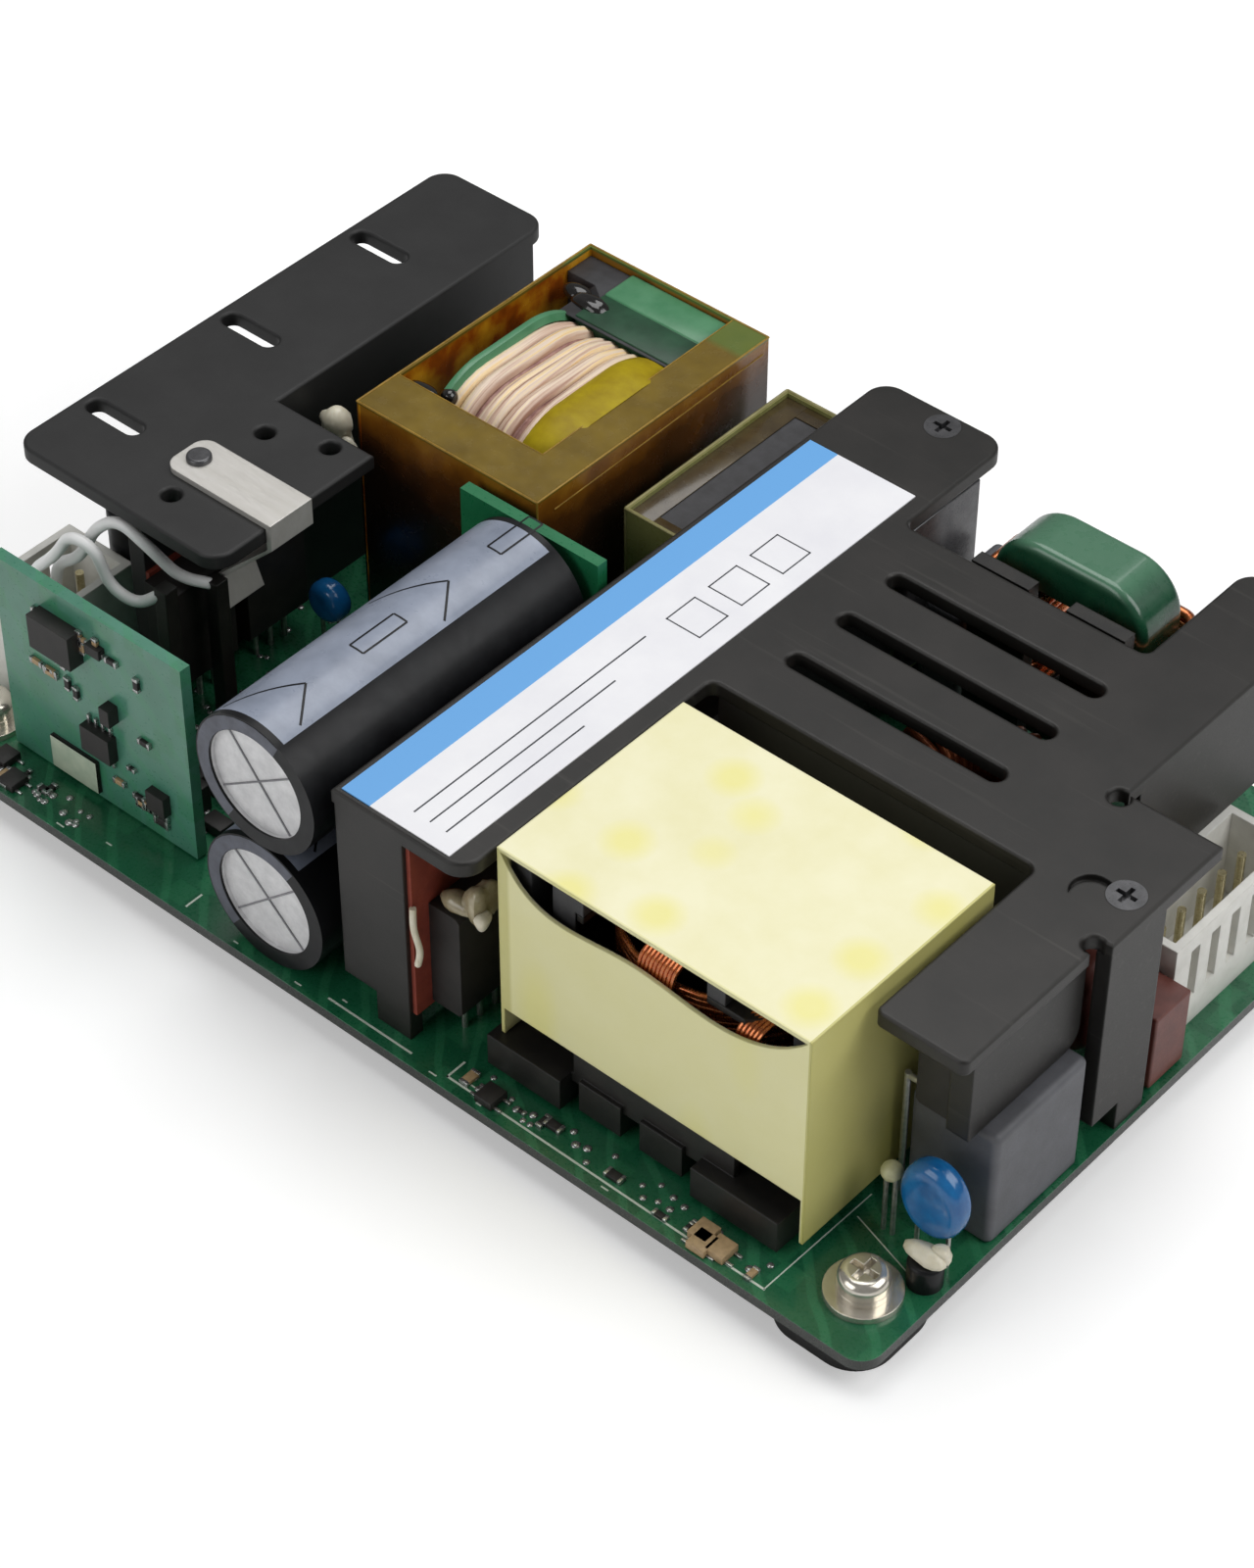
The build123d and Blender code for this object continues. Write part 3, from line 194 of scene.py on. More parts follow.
def layOver(tree, under, over, amount):
    # another colour laid over the one below, by an amount from 0 to 1 that varies over the surface
    return addNode(tree, "ShaderNodeMix", {
        "Factor": amount, 6: under, 7: linear(over) if isinstance(over, str) else over},
        data_type="RGBA")[2]


def scratched(tree, place, look):
    # faint pale hairlines at a slant, as handling leaves on an anodised face
    turned = addNode(tree, "ShaderNodeMapping", {
        "Vector": place, "Rotation": (0, 0, 0.62), "Scale": (30, 900, 900)})
    lines = addNode(tree, "ShaderNodeTexNoise", {
        "Vector": turned["Vector"], "Scale": 1.0, "Detail": 2.0, "Roughness": 0.5})
    amount = addNode(tree, "ShaderNodeMapRange", span(lines["Fac"], 0.62, 0.74, 0.0, 0.07))
    return layOver(tree, look, "#8a8680", amount["Result"])


blueEdge = 1.9  # mm, where the label's blue stripe ends


def blueBand(tree, place, look):
    # the printed label's blue stripe, left of one x
    x = addNode(tree, "ShaderNodeSeparateXYZ", {"Vector": place})["X"]
    band = addNode(tree, "ShaderNodeMath", {0: x, 1: blueEdge * mm}, operation="LESS_THAN")
    return layOver(tree, look, "#66a9e6", band["Value"])


def maskTracks(tree, place, look):
    # copper tracks and pours show through solder mask as a slightly lighter green net of lines
    cells = addNode(tree, "ShaderNodeTexVoronoi", {
        "Vector": place, "Scale": 1 / (5.2 * mm), "Randomness": 0.9}, feature="F1", distance="CHEBYCHEV")
    pours = addNode(tree, "ShaderNodeMapRange", span(cells["Distance"], 0.30, 0.33, 0.42, 0.0))
    lines = addNode(tree, "ShaderNodeTexWave", {
        "Vector": place, "Scale": 95.0, "Distortion": 6.0, "Detail": 1.0, "Detail Scale": 0.6},
        bands_direction="DIAGONAL")
    tracks = addNode(tree, "ShaderNodeMapRange", span(lines["Fac"], 0.86, 0.92, 0.0, 0.35))
    poured = layOver(tree, look, "#2f7a52", pours["Result"])
    faced = layOver(tree, poured, "#3b8a60", tracks["Result"])
    # the main board's edge, from 0.12 mm under its upper face down, is painted near black
    z = addNode(tree, "ShaderNodeSeparateXYZ", {"Vector": place})["Z"]
    belowBoardFace = addNode(tree, "ShaderNodeMath", {0: z, 1: (boardTop - 0.12) * mm}, operation="LESS_THAN")
    return layOver(tree, faced, "#131c15", belowBoardFace["Value"])


amber = {
    "darkest": 28, "palest": 45.5,  # mm over the plate's underside: the wall's painted shade pales from one to the other
    "flaps": 36.02,                 # mm over the board, just under the flaps on top
    "greenFrom": (37.6, 38.8),      # mm, y where the taped leg starts to show through the flap
    "paintedGlowX": -45.62,              # mm, x of the left wall's inner face, where a glow is painted
}


def filmPaintedShadeAndGlow(tree, place, look):
    # Film over a dark core: the flaps on top stay gold, painted shade darkens the walls downwards, a painted
    # orange glow lights the left wall inside, and the flap turns green where the taped leg lies under it.
    axes = addNode(tree, "ShaderNodeSeparateXYZ", {"Vector": place})
    cloud = addNode(tree, "ShaderNodeTexNoise", {"Vector": place, "Scale": 1 / (6.5 * mm), "Detail": 4.0})
    wobble = addNode(tree, "ShaderNodeMath", {
        0: cloud["Fac"], 1: 9 * mm, 2: axes["Z"]}, operation="MULTIPLY_ADD")
    wall = addNode(tree, "ShaderNodeMapRange", span(
        wobble["Value"], amber["darkest"] * mm, amber["palest"] * mm, 0.0, 1.0))
    # painted shade: near black low on the walls, amber high up
    wallPaintedShade = addNode(tree, "ShaderNodeValToRGB", {"Fac": wall["Result"]}, stops=[
        (0.0, "#120d09"), (0.45, "#22140a"), (0.72, "#4a290c"), (0.92, "#7c4c12"), (1.0, "#96661c")])
    below = addNode(tree, "ShaderNodeMath", {
        0: axes["Z"], 1: (boardTop + amber["flaps"]) * mm}, operation="LESS_THAN")
    toned = layOver(tree, look, wallPaintedShade["Color"], below["Value"])
    green = addNode(tree, "ShaderNodeMapRange", span(
        axes["Y"], amber["greenFrom"][0] * mm, amber["greenFrom"][1] * mm, 0.0, 0.55))
    above = addNode(tree, "ShaderNodeMath", {0: 1.0, 1: below["Value"]}, operation="SUBTRACT")
    greenTop = addNode(tree, "ShaderNodeMath", {0: green["Result"], 1: above["Value"]}, operation="MULTIPLY")
    toned = layOver(tree, toned, "#4f7a3c", greenTop["Value"])
    inner = addNode(tree, "ShaderNodeMath", {
        0: axes["X"], 1: amber["paintedGlowX"] * mm, 2: 0.1 * mm}, operation="COMPARE")
    # painted glow: orange light coming through the left wall, laid on its inner face
    paintedGlowTone = addNode(tree, "ShaderNodeValToRGB", {"Fac": cloud["Fac"]}, stops=[
        (0.30, "#5a2606"), (0.45, "#9a4c0a"), (0.58, "#c98a1a"), (0.70, "#e0a82c")])
    glow = addNode(tree, "ShaderNodeMath", {0: inner["Value"], 1: below["Value"]}, operation="MULTIPLY")
    return layOver(tree, toned, paintedGlowTone["Color"], glow["Value"])


def litzStripes(tree, place, look):
    # a stranded wire's cream, pink and orange threads, 0.45 mm wide, along the turn
    wide = addNode(tree, "ShaderNodeMapping", {"Vector": place, "Scale": (2100, 45, 45)})
    threads = addNode(tree, "ShaderNodeTexNoise", {
        "Vector": wide["Vector"], "Scale": 1.0, "Detail": 2.0, "Roughness": 0.6})
    tones = addNode(tree, "ShaderNodeValToRGB", {"Fac": threads["Fac"]}, stops=[
        (0.28, "#a9806c"), (0.40, "#cfb09a"), (0.52, "#e6d2bd"), (0.62, "#f0d6a4"), (0.74, "#e6b068")])
    return tones["Color"]


tapeTones = {
    "spots": 11.5,         # mm, spacing of the yellow patches
    "sides": (             # painted shade: axis, which side, from where in mm, how strong, what colour
        ("Y", "LESS_THAN", -43.3, 0.55, "#e9e59c"),
        ("X", "GREATER_THAN", 61.3, 0.85, "#c9c36c"),
    ),
    "fold": (18.9, 19.4),  # mm, x between which the painted shade along the near fold fades out
    "foldTop": 34.3,       # mm over the board, its upper end
}


def tapePatchesAndShade(tree, place, look):
    # Soft plain yellow patches about 4 mm across where the tape's glue shows through. Down the
    # sides a painted shade darkens and yellows it, most of all on the right and along the left near fold.
    squat = addNode(tree, "ShaderNodeMapping", {"Vector": place, "Scale": (1, 1, 0.4)})
    spots = addNode(tree, "ShaderNodeTexVoronoi", {
        "Vector": squat["Vector"], "Scale": 1 / (tapeTones["spots"] * mm), "Randomness": 0.6})
    soft = addNode(tree, "ShaderNodeMapRange", span(spots["Distance"], 0.12, 0.32, 0.5, 0.0))
    patched = layOver(tree, look, "#f0e85e", soft["Result"])
    axes = addNode(tree, "ShaderNodeSeparateXYZ", {"Vector": place})
    for axis, sign, edge, amount, tone in tapeTones["sides"]:
        side = addNode(tree, "ShaderNodeMath", {0: axes[axis], 1: edge * mm}, operation=sign)
        part = addNode(tree, "ShaderNodeMath", {0: side["Value"], 1: amount}, operation="MULTIPLY")
        patched = layOver(tree, patched, tone, part["Value"])
    fold = addNode(tree, "ShaderNodeMapRange", span(
        axes["X"], tapeTones["fold"][0] * mm, tapeTones["fold"][1] * mm, 0.55, 0.0))
    low = addNode(tree, "ShaderNodeMath", {
        0: axes["Z"], 1: (boardTop + tapeTones["foldTop"]) * mm}, operation="LESS_THAN")
    folded = addNode(tree, "ShaderNodeMath", {0: fold["Result"], 1: low["Value"]}, operation="MULTIPLY")
    return layOver(tree, patched, "#bcb65c", folded["Value"])


def paintedTopLight(tree, place, look):
    # painted light: the coated core's upper face is painted paler than down its side
    z = addNode(tree, "ShaderNodeSeparateXYZ", {"Vector": place})["Z"]
    top = addNode(tree, "ShaderNodeMapRange", span(
        z, (33.4 + boardTop) * mm, (34.6 + boardTop) * mm, 0.0, 0.75))
    return layOver(tree, look, "#527f64", top["Result"])


def canFace(tree, place, look):
    # drawn aluminium end: soft greyer patches 2.4 mm wide, their pattern counted from between the cans
    shifted = addNode(tree, "ShaderNodeVectorMath", {0: place, 1: at(-14.2, 0, 18.6)}, operation="SUBTRACT")
    patches = addNode(tree, "ShaderNodeTexNoise", {
        "Vector": shifted["Vector"], "Scale": 1 / (2.4 * mm), "Detail": 6.0, "Roughness": 0.7})
    tone = addNode(tree, "ShaderNodeMapRange", span(patches["Fac"], 0.35, 0.7, 0.0, 0.5))
    return layOver(tree, look, "#b4b4b6", tone["Result"])


finish = {
    # black anodised aluminium sheet, bead blasted: satin, a little warm, soft pale edges
    "anodised": makeFinish("anodisedAluminium", "#21201e", "#2a2826", 9, (0.36, 0.46), 0.12, 0.12, edge=0.35,
        paint=scratched, Metallic=0.25),
    # the same sheet with a finer, duller black
    "anodisedMatt": makeFinish("anodisedAluminiumMatt", "#232323", "#2a2a2a", 8, (0.46, 0.56), 0.12, 0.12,
        edge=0.35, Metallic=0.2),
    # glass-epoxy board under glossy green solder mask, tracks showing faintly
    "mask": makeFinish("solderMask", "#165437", "#1c6443", 14, (0.24, 0.34), 0.5, 0.1, paint=maskTracks,
        **coat(0.4, 0.12)),
    # the control board: a paler, satin mask, tracks showing
    "maskPale": makeFinish("solderMaskPale", "#3f7a64", "#4f8a74", 9, (0.26, 0.36), 0.5, 0.1,
        paint=maskTracks, **coat(0.4, 0.15)),
    # the small board that carries the large capacitors: a brighter green mask, glossy
    "maskBright": makeFinish("solderMaskBright", "#196a42", "#25794e", 9, (0.26, 0.36), 0.5, 0.1,
        **coat(0.4, 0.15)),
    # polyester insulating sheet, black and smooth
    "sheet": makeFinish("polyesterSheet", "#15161a", "#1d1e20", 8, (0.25, 0.35), 0.4, 0.05),
    # nickel-plated steel screws and washers: bright, slightly yellow, almost smooth
    "nickel": makeFinish("nickelSteel", "#d9d2c4", "#e4dfd4", 3.0, (0.16, 0.24), 0.4, 0.03, edge=0.15,
        Metallic=0.8),
    # black oxide steel: dark, a dull metal shine
    "blackSteel": makeFinish("blackSteel", "#232222", "#2f2e2d", 1.5, (0.3, 0.42), 0.15, 0.2, Metallic=0.6),
    # stainless spring strip, rolled: satin with long fine lines along its length
    "spring": makeFinish("springSteel", "#d2cfc8", "#dedbd6", 3, (0.3, 0.42), 0.25, 0.2, 0.01,
        stretch=(0.12, 1.6, 1), edge=0.2, Metallic=0.5),
    # coated paper label, matt white with its blue band
    "label": makeFinish("labelPaper", "#e9e9ee", "#f2f2f5", 12, (0.42, 0.5), 0.2, 0.08, 0.01,
        paint=blueBand),
    # printed ink: flat dark grey
    "ink": makeFinish("printedInk", "#33353a", "#3d4046", 1.0, (0.45, 0.55), 0.2, 0.05, 0.01),
    # transfer-moulded epoxy of device bodies: near black, fine matt grain
    "epoxy": makeFinish("mouldedEpoxy", "#1d1b1a", "#272422", 2.5, (0.5, 0.62), 0.1, 0.3, edge=0.15),
    # injection-moulded nylon and phenolic parts, black
    "blackPlastic": makeFinish("blackNylon", "#191817", "#24221f", 3, (0.38, 0.5), 0.15, 0.25, edge=0.25),
    # tinned copper: dull silver
    "tinned": makeFinish("tinnedCopper", "#a9a8a4", "#cccbc6", 0.8, (0.28, 0.4), 0.2, 0.2, Metallic=0.9),
    # glass-filled silicone pad, brick red
    "pad": makeFinish("siliconePad", "#7e3224", "#94402d", 2.5, (0.6, 0.72), 0.3, 0.3, 0.03),
    # sintered ferrite: grey-black, ground flat, a fine sugar grain
    "ferrite": makeFinish("ferrite", "#343436", "#404043", 2.0, (0.5, 0.62), 0.12, 0.35, 0.03, edge=0.3),
    # enamelled copper wire: bright orange metal under clear lacquer
    "copper": makeFinish("enamelledCopper", "#b0592a", "#cf7c46", 0.9, (0.2, 0.32), 0.2, 0.1, 0.01,
        Metallic=0.85, **coat(0.6, 0.08)),
    # the sleeve's printed grey, where it runs round onto the can's end
    "sleeveLip": makeFinish("printedSleeveLip", "#474a55", "#5a5e6b", 2.0, (0.3, 0.42), 0.3, 0.1),
    # zinc-plated steel, passivated: dull dark grey
    "screwGrey": makeFinish("zincSteelDull", "#4a4a4c", "#5c5c5e", 1.5, (0.26, 0.36), 0.15, 0.15,
        Metallic=0.5),
    # copper wire deep under the plate, painted darker and duller as painted shade
    "copperShaded": makeFinish("copperPaintedShade", "#6a3216", "#92512d", 0.9, (0.3, 0.42), 0.2, 0.1, 0.01,
        Metallic=0.6),
    # silk-served stranded wire: pale and matt, threads of several tones
    "litz": makeFinish("litzWire", "#e8cfb4", "#f2dfc6", 1.0, (0.38, 0.5), 0.2, 0.5, 0.05, paint=litzStripes,
        **coat(0.25, 0.25)),
    # the layer of turns below, pinker, and painted darker as painted shade
    "litzUnder": makeFinish("litzWireUnder", "#8f6560", "#b08a80", 1.2, (0.45, 0.55), 0.3, 0.4, 0.05),
    # cream polyester wrapping tape over glue, with painted shade down its sides
    "tape": makeFinish("polyesterTape", "#efeabb", "#f5f1cb", 10, (0.3, 0.4), 1.6, 0.12, 0.08,
        paint=tapePatchesAndShade, edge=0.3, **coat(0.2, 0.3)),
    # amber polyimide film, seen over a dark core, with painted shade down its walls and a painted glow
    # inside the left wall
    "amberFlap": makeFinish("polyimideFlap", "#68541a", "#7e6823", 7, (0.2, 0.3), 2.0, 0.2, 0.1,
        paint=filmPaintedShadeAndGlow, **coat(0.2, 0.12)),
    # painted highlight: the film's cut edge, paler amber where it catches the light
    "amberEdgeHighlight": makeFinish("polyimideEdgeHighlight", "#8a6a20", "#b08c38", 3, (0.25, 0.35), 0.6, 0.1),
    # olive polyester film: glossy, slightly rippled
    "olive": makeFinish("oliveFilm", "#7e7e46", "#90905a", 7, (0.24, 0.34), 1.8, 0.2, 0.1,
        **coat(0.3, 0.15)),
    # the same film where it lies on the dark core
    "oliveDark": makeFinish("oliveFilmOverCore", "#3d3220", "#54472c", 5, (0.2, 0.3), 1.8, 0.2, 0.08,
        **coat(0.4, 0.12)),
    # its cut edge, paler: a painted highlight
    "oliveEdgeHighlight": makeFinish("oliveFilmEdgeHighlight", "#8a8455", "#a29c6c", 3, (0.3, 0.4), 0.6, 0.1),
    # green epoxy coating on a toroid or ladder core, its upper face painted paler as painted light
    "coating": makeFinish("greenEpoxyCoating", "#174530", "#205339", 4, (0.24, 0.34), 1.2, 0.15, 0.05,
        paint=paintedTopLight, **coat(0.5, 0.1)),
    # drawn aluminium can end: pale, soft shine, faint greyer patches
    "can": makeFinish("drawnAluminium", "#dededf", "#ebebec", 2.5, (0.4, 0.52), 0.3, 0.15, paint=canFace,
        Metallic=0.2),
    # the stamped cross in a can's end: dull, and painted darker as the shade in its grooves
    "ventGroove": makeFinish("stampedGroovePaintedShade", "#88888c", "#9b9b9f", 2.0, (0.4, 0.5), 0.3, 0.1, Metallic=0.4),
    # shrunk vinyl sleeve: black, glossy, slightly rippled
    "sleeve": makeFinish("vinylSleeve", "#141416", "#1d1e20", 5, (0.3, 0.42), 2.2, 0.12, 0.06,
        **{"Specular IOR Level": 0.2, **coat(0.06, 0.2)}),
    # the printed grey stripe, as glossy as the sleeve
    "sleeveStripe": makeFinish("vinylStripe", "#7f8797", "#949cad", 6, (0.26, 0.36), 2.2, 0.1, 0.05,
        **coat(0.2, 0.15)),
    # moulded rubber: black, matt
    "rubber": makeFinish("rubberBung", "#181716", "#232120", 1.5, (0.6, 0.72), 0.2, 0.3),
    # moulded box of a film capacitor, grey with a fine spark-eroded grain
    "greyCase": makeFinish("greyCase", "#55565a", "#606166", 4, (0.42, 0.54), 0.16, 0.35, edge=0.35),
    # dipped epoxy on a ceramic disc, glossy blue
    "blueDip": makeFinish("blueEpoxyDip", "#125a96", "#1b70ae", 2.5, (0.16, 0.24), 0.9, 0.15, 0.05,
        **coat(0.35, 0.06)),
    # lacquer-dipped thermistor: cream, satin
    "cream": makeFinish("creamDip", "#b3b189", "#c9c8a2", 1.0, (0.3, 0.42), 0.4, 0.15),
    # moulded phenolic: red-brown, satin
    "brownCase": makeFinish("brownCase", "#5f322b", "#6e3c34", 2.0, (0.36, 0.48), 0.16, 0.25, edge=0.25),
    # natural nylon connector housing
    "nylon": makeFinish("naturalNylon", "#dcdbd4", "#e9e8e2", 3.0, (0.4, 0.5), 0.25, 0.2, edge=0.25,
        **milky(0.1, 2, 2, 2)),
    # extruded wire insulation, white, satin
    "insulation": makeFinish("wireInsulation", "#f6f6f5", "#fbfbfa", 2.0, (0.32, 0.42), 0.3, 0.1,
        **milky(0.5, 3, 3, 3)),
    # tin-plated brass contacts: pale yellow metal
    "brass": makeFinish("tinnedBrass", "#b7ab84", "#cdc39c", 0.8, (0.25, 0.35), 0.2, 0.2, Metallic=0.95),
    # solder fillets: bright grey, wavy
    "solder": makeFinish("solder", "#9fa09f", "#c7c8c6", 0.7, (0.2, 0.34), 0.35, 0.4, 0.05, Metallic=0.85),
    # printed legend: flat pale ink on the mask
    "silk": makeFinish("whiteLegend", "#c9d3c6", "#d9e2d6", 1.0, (0.45, 0.55), 0.2, 0.1),
    # silicone and hot-melt glue, milky
    "glue": makeFinish("fixingGlue", "#d9d2ba", "#e8e2cf", 1.6, (0.26, 0.4), 0.8, 0.4, 0.1,
        **milky(0.25, 3, 2.5, 2)),
    # clear silicone glue: brownish, wet looking
    "clearGlue": makeFinish("siliconeGlue", "#8f8468", "#b5aa8a", 2.2, (0.16, 0.28), 1.2, 0.3, 0.1,
        **milky(0.3, 3, 2.5, 1.5), **{"Coat Weight": 0.5}),
    # green polyester tape: satin over its glue
    "greenTape": makeFinish("greenPolyesterTape", "#437f58", "#548d67", 4, (0.28, 0.38), 1.2, 0.12, 0.05,
        **coat(0.2, 0.25)),
    # the same tape, painted darker as the shade on the leg's inner wall
    "greenShade": makeFinish("greenPolyesterTapePaintedShade", "#1d3f2b", "#285038", 4, (0.35, 0.45), 1.2, 0.12,
        0.05),
    # yellow polyester tape: dull, slightly creased
    "yellowTape": makeFinish("yellowPolyesterTape", "#937c00", "#ac9806", 4, (0.42, 0.52), 1.6, 0.25, 0.1,
        **{"Specular IOR Level": 0.25}),
    # beads of black varnish: very glossy
    "bead": makeFinish("blackGlaze", "#121110", "#1c1a19", 1.0, (0.12, 0.2), 0.5, 0.1, 0.03,
        **coat(0.6, 0.05)),
    # small ceramic parts: buff, matt
    "buffBody": makeFinish("chipCeramic", "#a48a66", "#b89c76", 0.6, (0.4, 0.5), 0.2, 0.1),
    # foam pad: pale, matt
    "fawn": makeFinish("padFoam", "#9fb09a", "#b4c0aa", 2.0, (0.5, 0.6), 0.4, 0.2),
}

finishNodes = {
    "anodisedMatt": ["base_plate", "output_heatsink"],
    "anodised": ["main_heatsink", "spreader_bar"],
    "blackPlastic": ["corner_spacers", "wire_posts", "transformer_bobbin", "boost_choke_bobbin",
        "resonant_choke_bobbin", "choke_bases", "filter_choke_bobbins"],
    "sheet": ["insulating_sheet"],
    "mask": ["main_board"],
    "maskPale": ["control_board"],
    "maskBright": ["capacitor_board"],
    "nickel": ["flat_washers", "spring_washers", "corner_screws"],
    "blackSteel": ["heatsink_pillars"],
    "screwGrey": ["heatsink_screws"],
    "spring": ["output_spring_clip"],
    "label": ["rating_label"],
    "epoxy": ["main_power_devices", "output_devices", "bridge_rectifier", "control_chips"],
    "tinned": ["device_leads", "transformer_pins", "choke_pins", "capacitor_leads", "header_pins",
        "small_part_leads"],
    "pad": ["thermal_pads"],
    "ferrite": ["transformer_core", "boost_choke_core", "resonant_choke_core"],
    "tape": ["transformer_tape"],
    "amberFlap": ["boost_choke_film"],
    "olive": ["resonant_choke_film"],
    "litz": ["resonant_choke_winding", "boost_choke_winding"],
    "coating": ["filter_choke_core", "ring_choke_core"],
    "can": ["reservoir_capacitors"],
    "sleeve": ["capacitor_sleeves", "output_capacitors", "corner_capacitor"],
    "rubber": ["capacitor_bungs"],
    "greyCase": ["box_capacitors"],
    "blueDip": ["disc_capacitors"],
    "cream": ["thermistor"],
    "brownCase": ["varistor", "boxed_fuse"],
    "nylon": ["inlet_connector", "output_connector"],
    "insulation": ["output_wires"],
    "brass": ["connector_contacts"],
    "copper": ["transformer_winding", "filter_choke_windings", "ring_choke_windings"],
}
for finishName, nodeNames in finishNodes.items():
    for nodeName in nodeNames:
        nodes[nodeName].data.materials.clear()
        nodes[nodeName].data.materials.append(finish[finishName])
bare = set(nodes) - {nodeName for nodeNames in finishNodes.values() for nodeName in nodeNames}
print("materials done:", len(finish), "finishes, nodes without one:", sorted(bare))


# Small mesh tools; lengths in mm, heights from the board's face

def addBlock(mesh, low, high, edge, ink=0):
    # a block between two corners with rounded edges
    made = bmesh.ops.create_cube(mesh, size=1.0)["verts"]
    low = at(*low)
    high = at(*high)
    for v in made:
        v.co = Vector([low[i] + (v.co[i] + 0.5) * (high[i] - low[i]) for i in range(3)])
    for f in {f for v in made for f in v.link_faces}:
        f.material_index = ink
    edges = list({e for v in made for e in v.link_edges})
    rounded = bmesh.ops.bevel(mesh, geom=edges, offset=edge * mm, segments=2, profile=0.5, affect="EDGES")
    for f in rounded["faces"]:
        f.material_index = ink


def smoothPath(points, steps=6):
    # a smooth curve through the given places
    points = [Vector(p) for p in points]
    path = []
    for i in range(len(points) - 1):
        a = points[max(i - 1, 0)]
        b = points[i]
        c = points[i + 1]
        d = points[min(i + 2, len(points) - 1)]
        for s in range(steps):
            t = s / steps
            path.append(0.5 * (2 * b + (c - a) * t + (2 * a - 5 * b + 4 * c - d) * t * t
                               + (3 * b - a - 3 * c + d) * t ** 3))
    return path + [points[-1]]


def addTube(mesh, path, radius, sides=6):
    # a round wire along a path
    path = [at(*p) for p in path]
    side = Vector((0, 0, 1))
    rings = []
    for i, p in enumerate(path):
        along = (path[min(i + 1, len(path) - 1)] - path[max(i - 1, 0)]).normalized()
        side = side - along * side.dot(along)
        if side.length < 1e-4:
            side = along.orthogonal()
        side.normalize()
        other = along.cross(side)
        rings.append([])
        for k in range(sides):
            a = 2 * math.pi * k / sides
            rings[-1].append(mesh.verts.new(p + (side * math.cos(a) + other * math.sin(a)) * radius * mm))
    for a, b in zip(rings, rings[1:]):
        for k in range(sides):
            mesh.faces.new((a[k], b[k], b[(k + 1) % sides], a[(k + 1) % sides]))
    mesh.faces.new(rings[0])
    mesh.faces.new(list(reversed(rings[-1])))


def addRims(mesh, places, radius):
    # straight runs of pale tube along a film's folded edge from place to place: painted highlights
    for start, end in zip(places, places[1:]):
        addTube(mesh, [start, end], radius)


def addBlob(mesh, centre, size, seed, rough, ink=0):
    # a rounded uneven lump
    made = bmesh.ops.create_uvsphere(mesh, u_segments=16, v_segments=10, radius=1.0)["verts"]
    rng = random.Random(seed)
    waves = [(rng.uniform(1, 3), rng.uniform(0, 6.3), rng.choice((0, 1, 2))) for i in range(4)]
    for v in made:
        swell = 1 + sum(rough / 2 * math.sin(f * v.co[a] * 2 + s) for f, s, a in waves)
        v.co = at(*centre) + Vector([v.co[i] * size[i] * swell * mm for i in range(3)])
    for f in {f for v in made for f in v.link_faces}:
        f.material_index = ink


def addStrip(mesh, rows, ink):
    # a surface through rows of places that are already in metres
    grid = [[mesh.verts.new(p) for p in row] for row in rows]
    for a, b in zip(grid, grid[1:]):
        for i in range(len(a) - 1):
            mesh.faces.new((a[i], a[i + 1], b[i + 1], b[i])).material_index = ink


def addRibbon(mesh, points, width, height, thick=0.03):
    # a flat printed line: points in mm, joined by short mitred runs
    for (x0, y0), (x1, y1) in zip(points, points[1:]):
        along = Vector((x1 - x0, y1 - y0, 0)).normalized() * width / 2
        across = Vector((-along.y, along.x, 0))
        corners = [(x0 - along.x + across.x, y0 - along.y + across.y),
                   (x0 - along.x - across.x, y0 - along.y - across.y),
                   (x1 + along.x - across.x, y1 + along.y - across.y),
                   (x1 + along.x + across.x, y1 + along.y + across.y)]
        low = [mesh.verts.new(at(x, y, height)) for x, y in corners]
        high = [mesh.verts.new(at(x, y, height + thick)) for x, y in corners]
        mesh.faces.new(high)
        mesh.faces.new(list(reversed(low)))
        for i in range(4):
            mesh.faces.new((low[i], low[(i + 1) % 4], high[(i + 1) % 4], high[i]))


def placePiece(name, data):
    # the finished object, its mesh already placed in the frame, riding on the part
    piece = bpy.data.objects.new(name, data)
    bpy.context.scene.collection.objects.link(piece)
    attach(piece, "root")
    return piece


def makePiece(name, mesh, looks, smooth=35, outward=True):
    # a piece from its working mesh, with its looks
    if outward:
        bmesh.ops.recalc_face_normals(mesh, faces=mesh.faces)
    data = bpy.data.meshes.new(name)
    mesh.to_mesh(data)
    mesh.free()
    for look in looks:
        data.materials.append(finish[look])
    data.shade_smooth()
    data.set_sharp_from_angle(angle=math.radians(smooth))
    return placePiece(name, data)


# Geometry Nodes trees, for the windings and the solder

def startTree(name, sockets):
    # an empty tree with its named inputs, and the sockets that they feed
    tree = bpy.data.node_groups.new(name, "GeometryNodeTree")
    tree.interface.new_socket(name="Geometry", in_out="OUTPUT", socket_type="NodeSocketGeometry")
    for socket, kind in sockets.items():
        tree.interface.new_socket(name=socket, in_out="INPUT", socket_type="NodeSocket" + kind)
    return tree, addNode(tree, "NodeGroupInput")


def endTree(tree, geometry, look):
    # what the tree made, as real meshes, smooth and with their material
    real = addNode(tree, "GeometryNodeRealizeInstances", {"Geometry": geometry})
    smooth = addNode(tree, "GeometryNodeSetShadeSmooth", {"Geometry": real["Geometry"]})
    dressed = addNode(tree, "GeometryNodeSetMaterial", {"Geometry": smooth["Geometry"], "Material": look})
    addNode(tree, "NodeGroupOutput", {"Geometry": dressed["Geometry"]})
    return tree


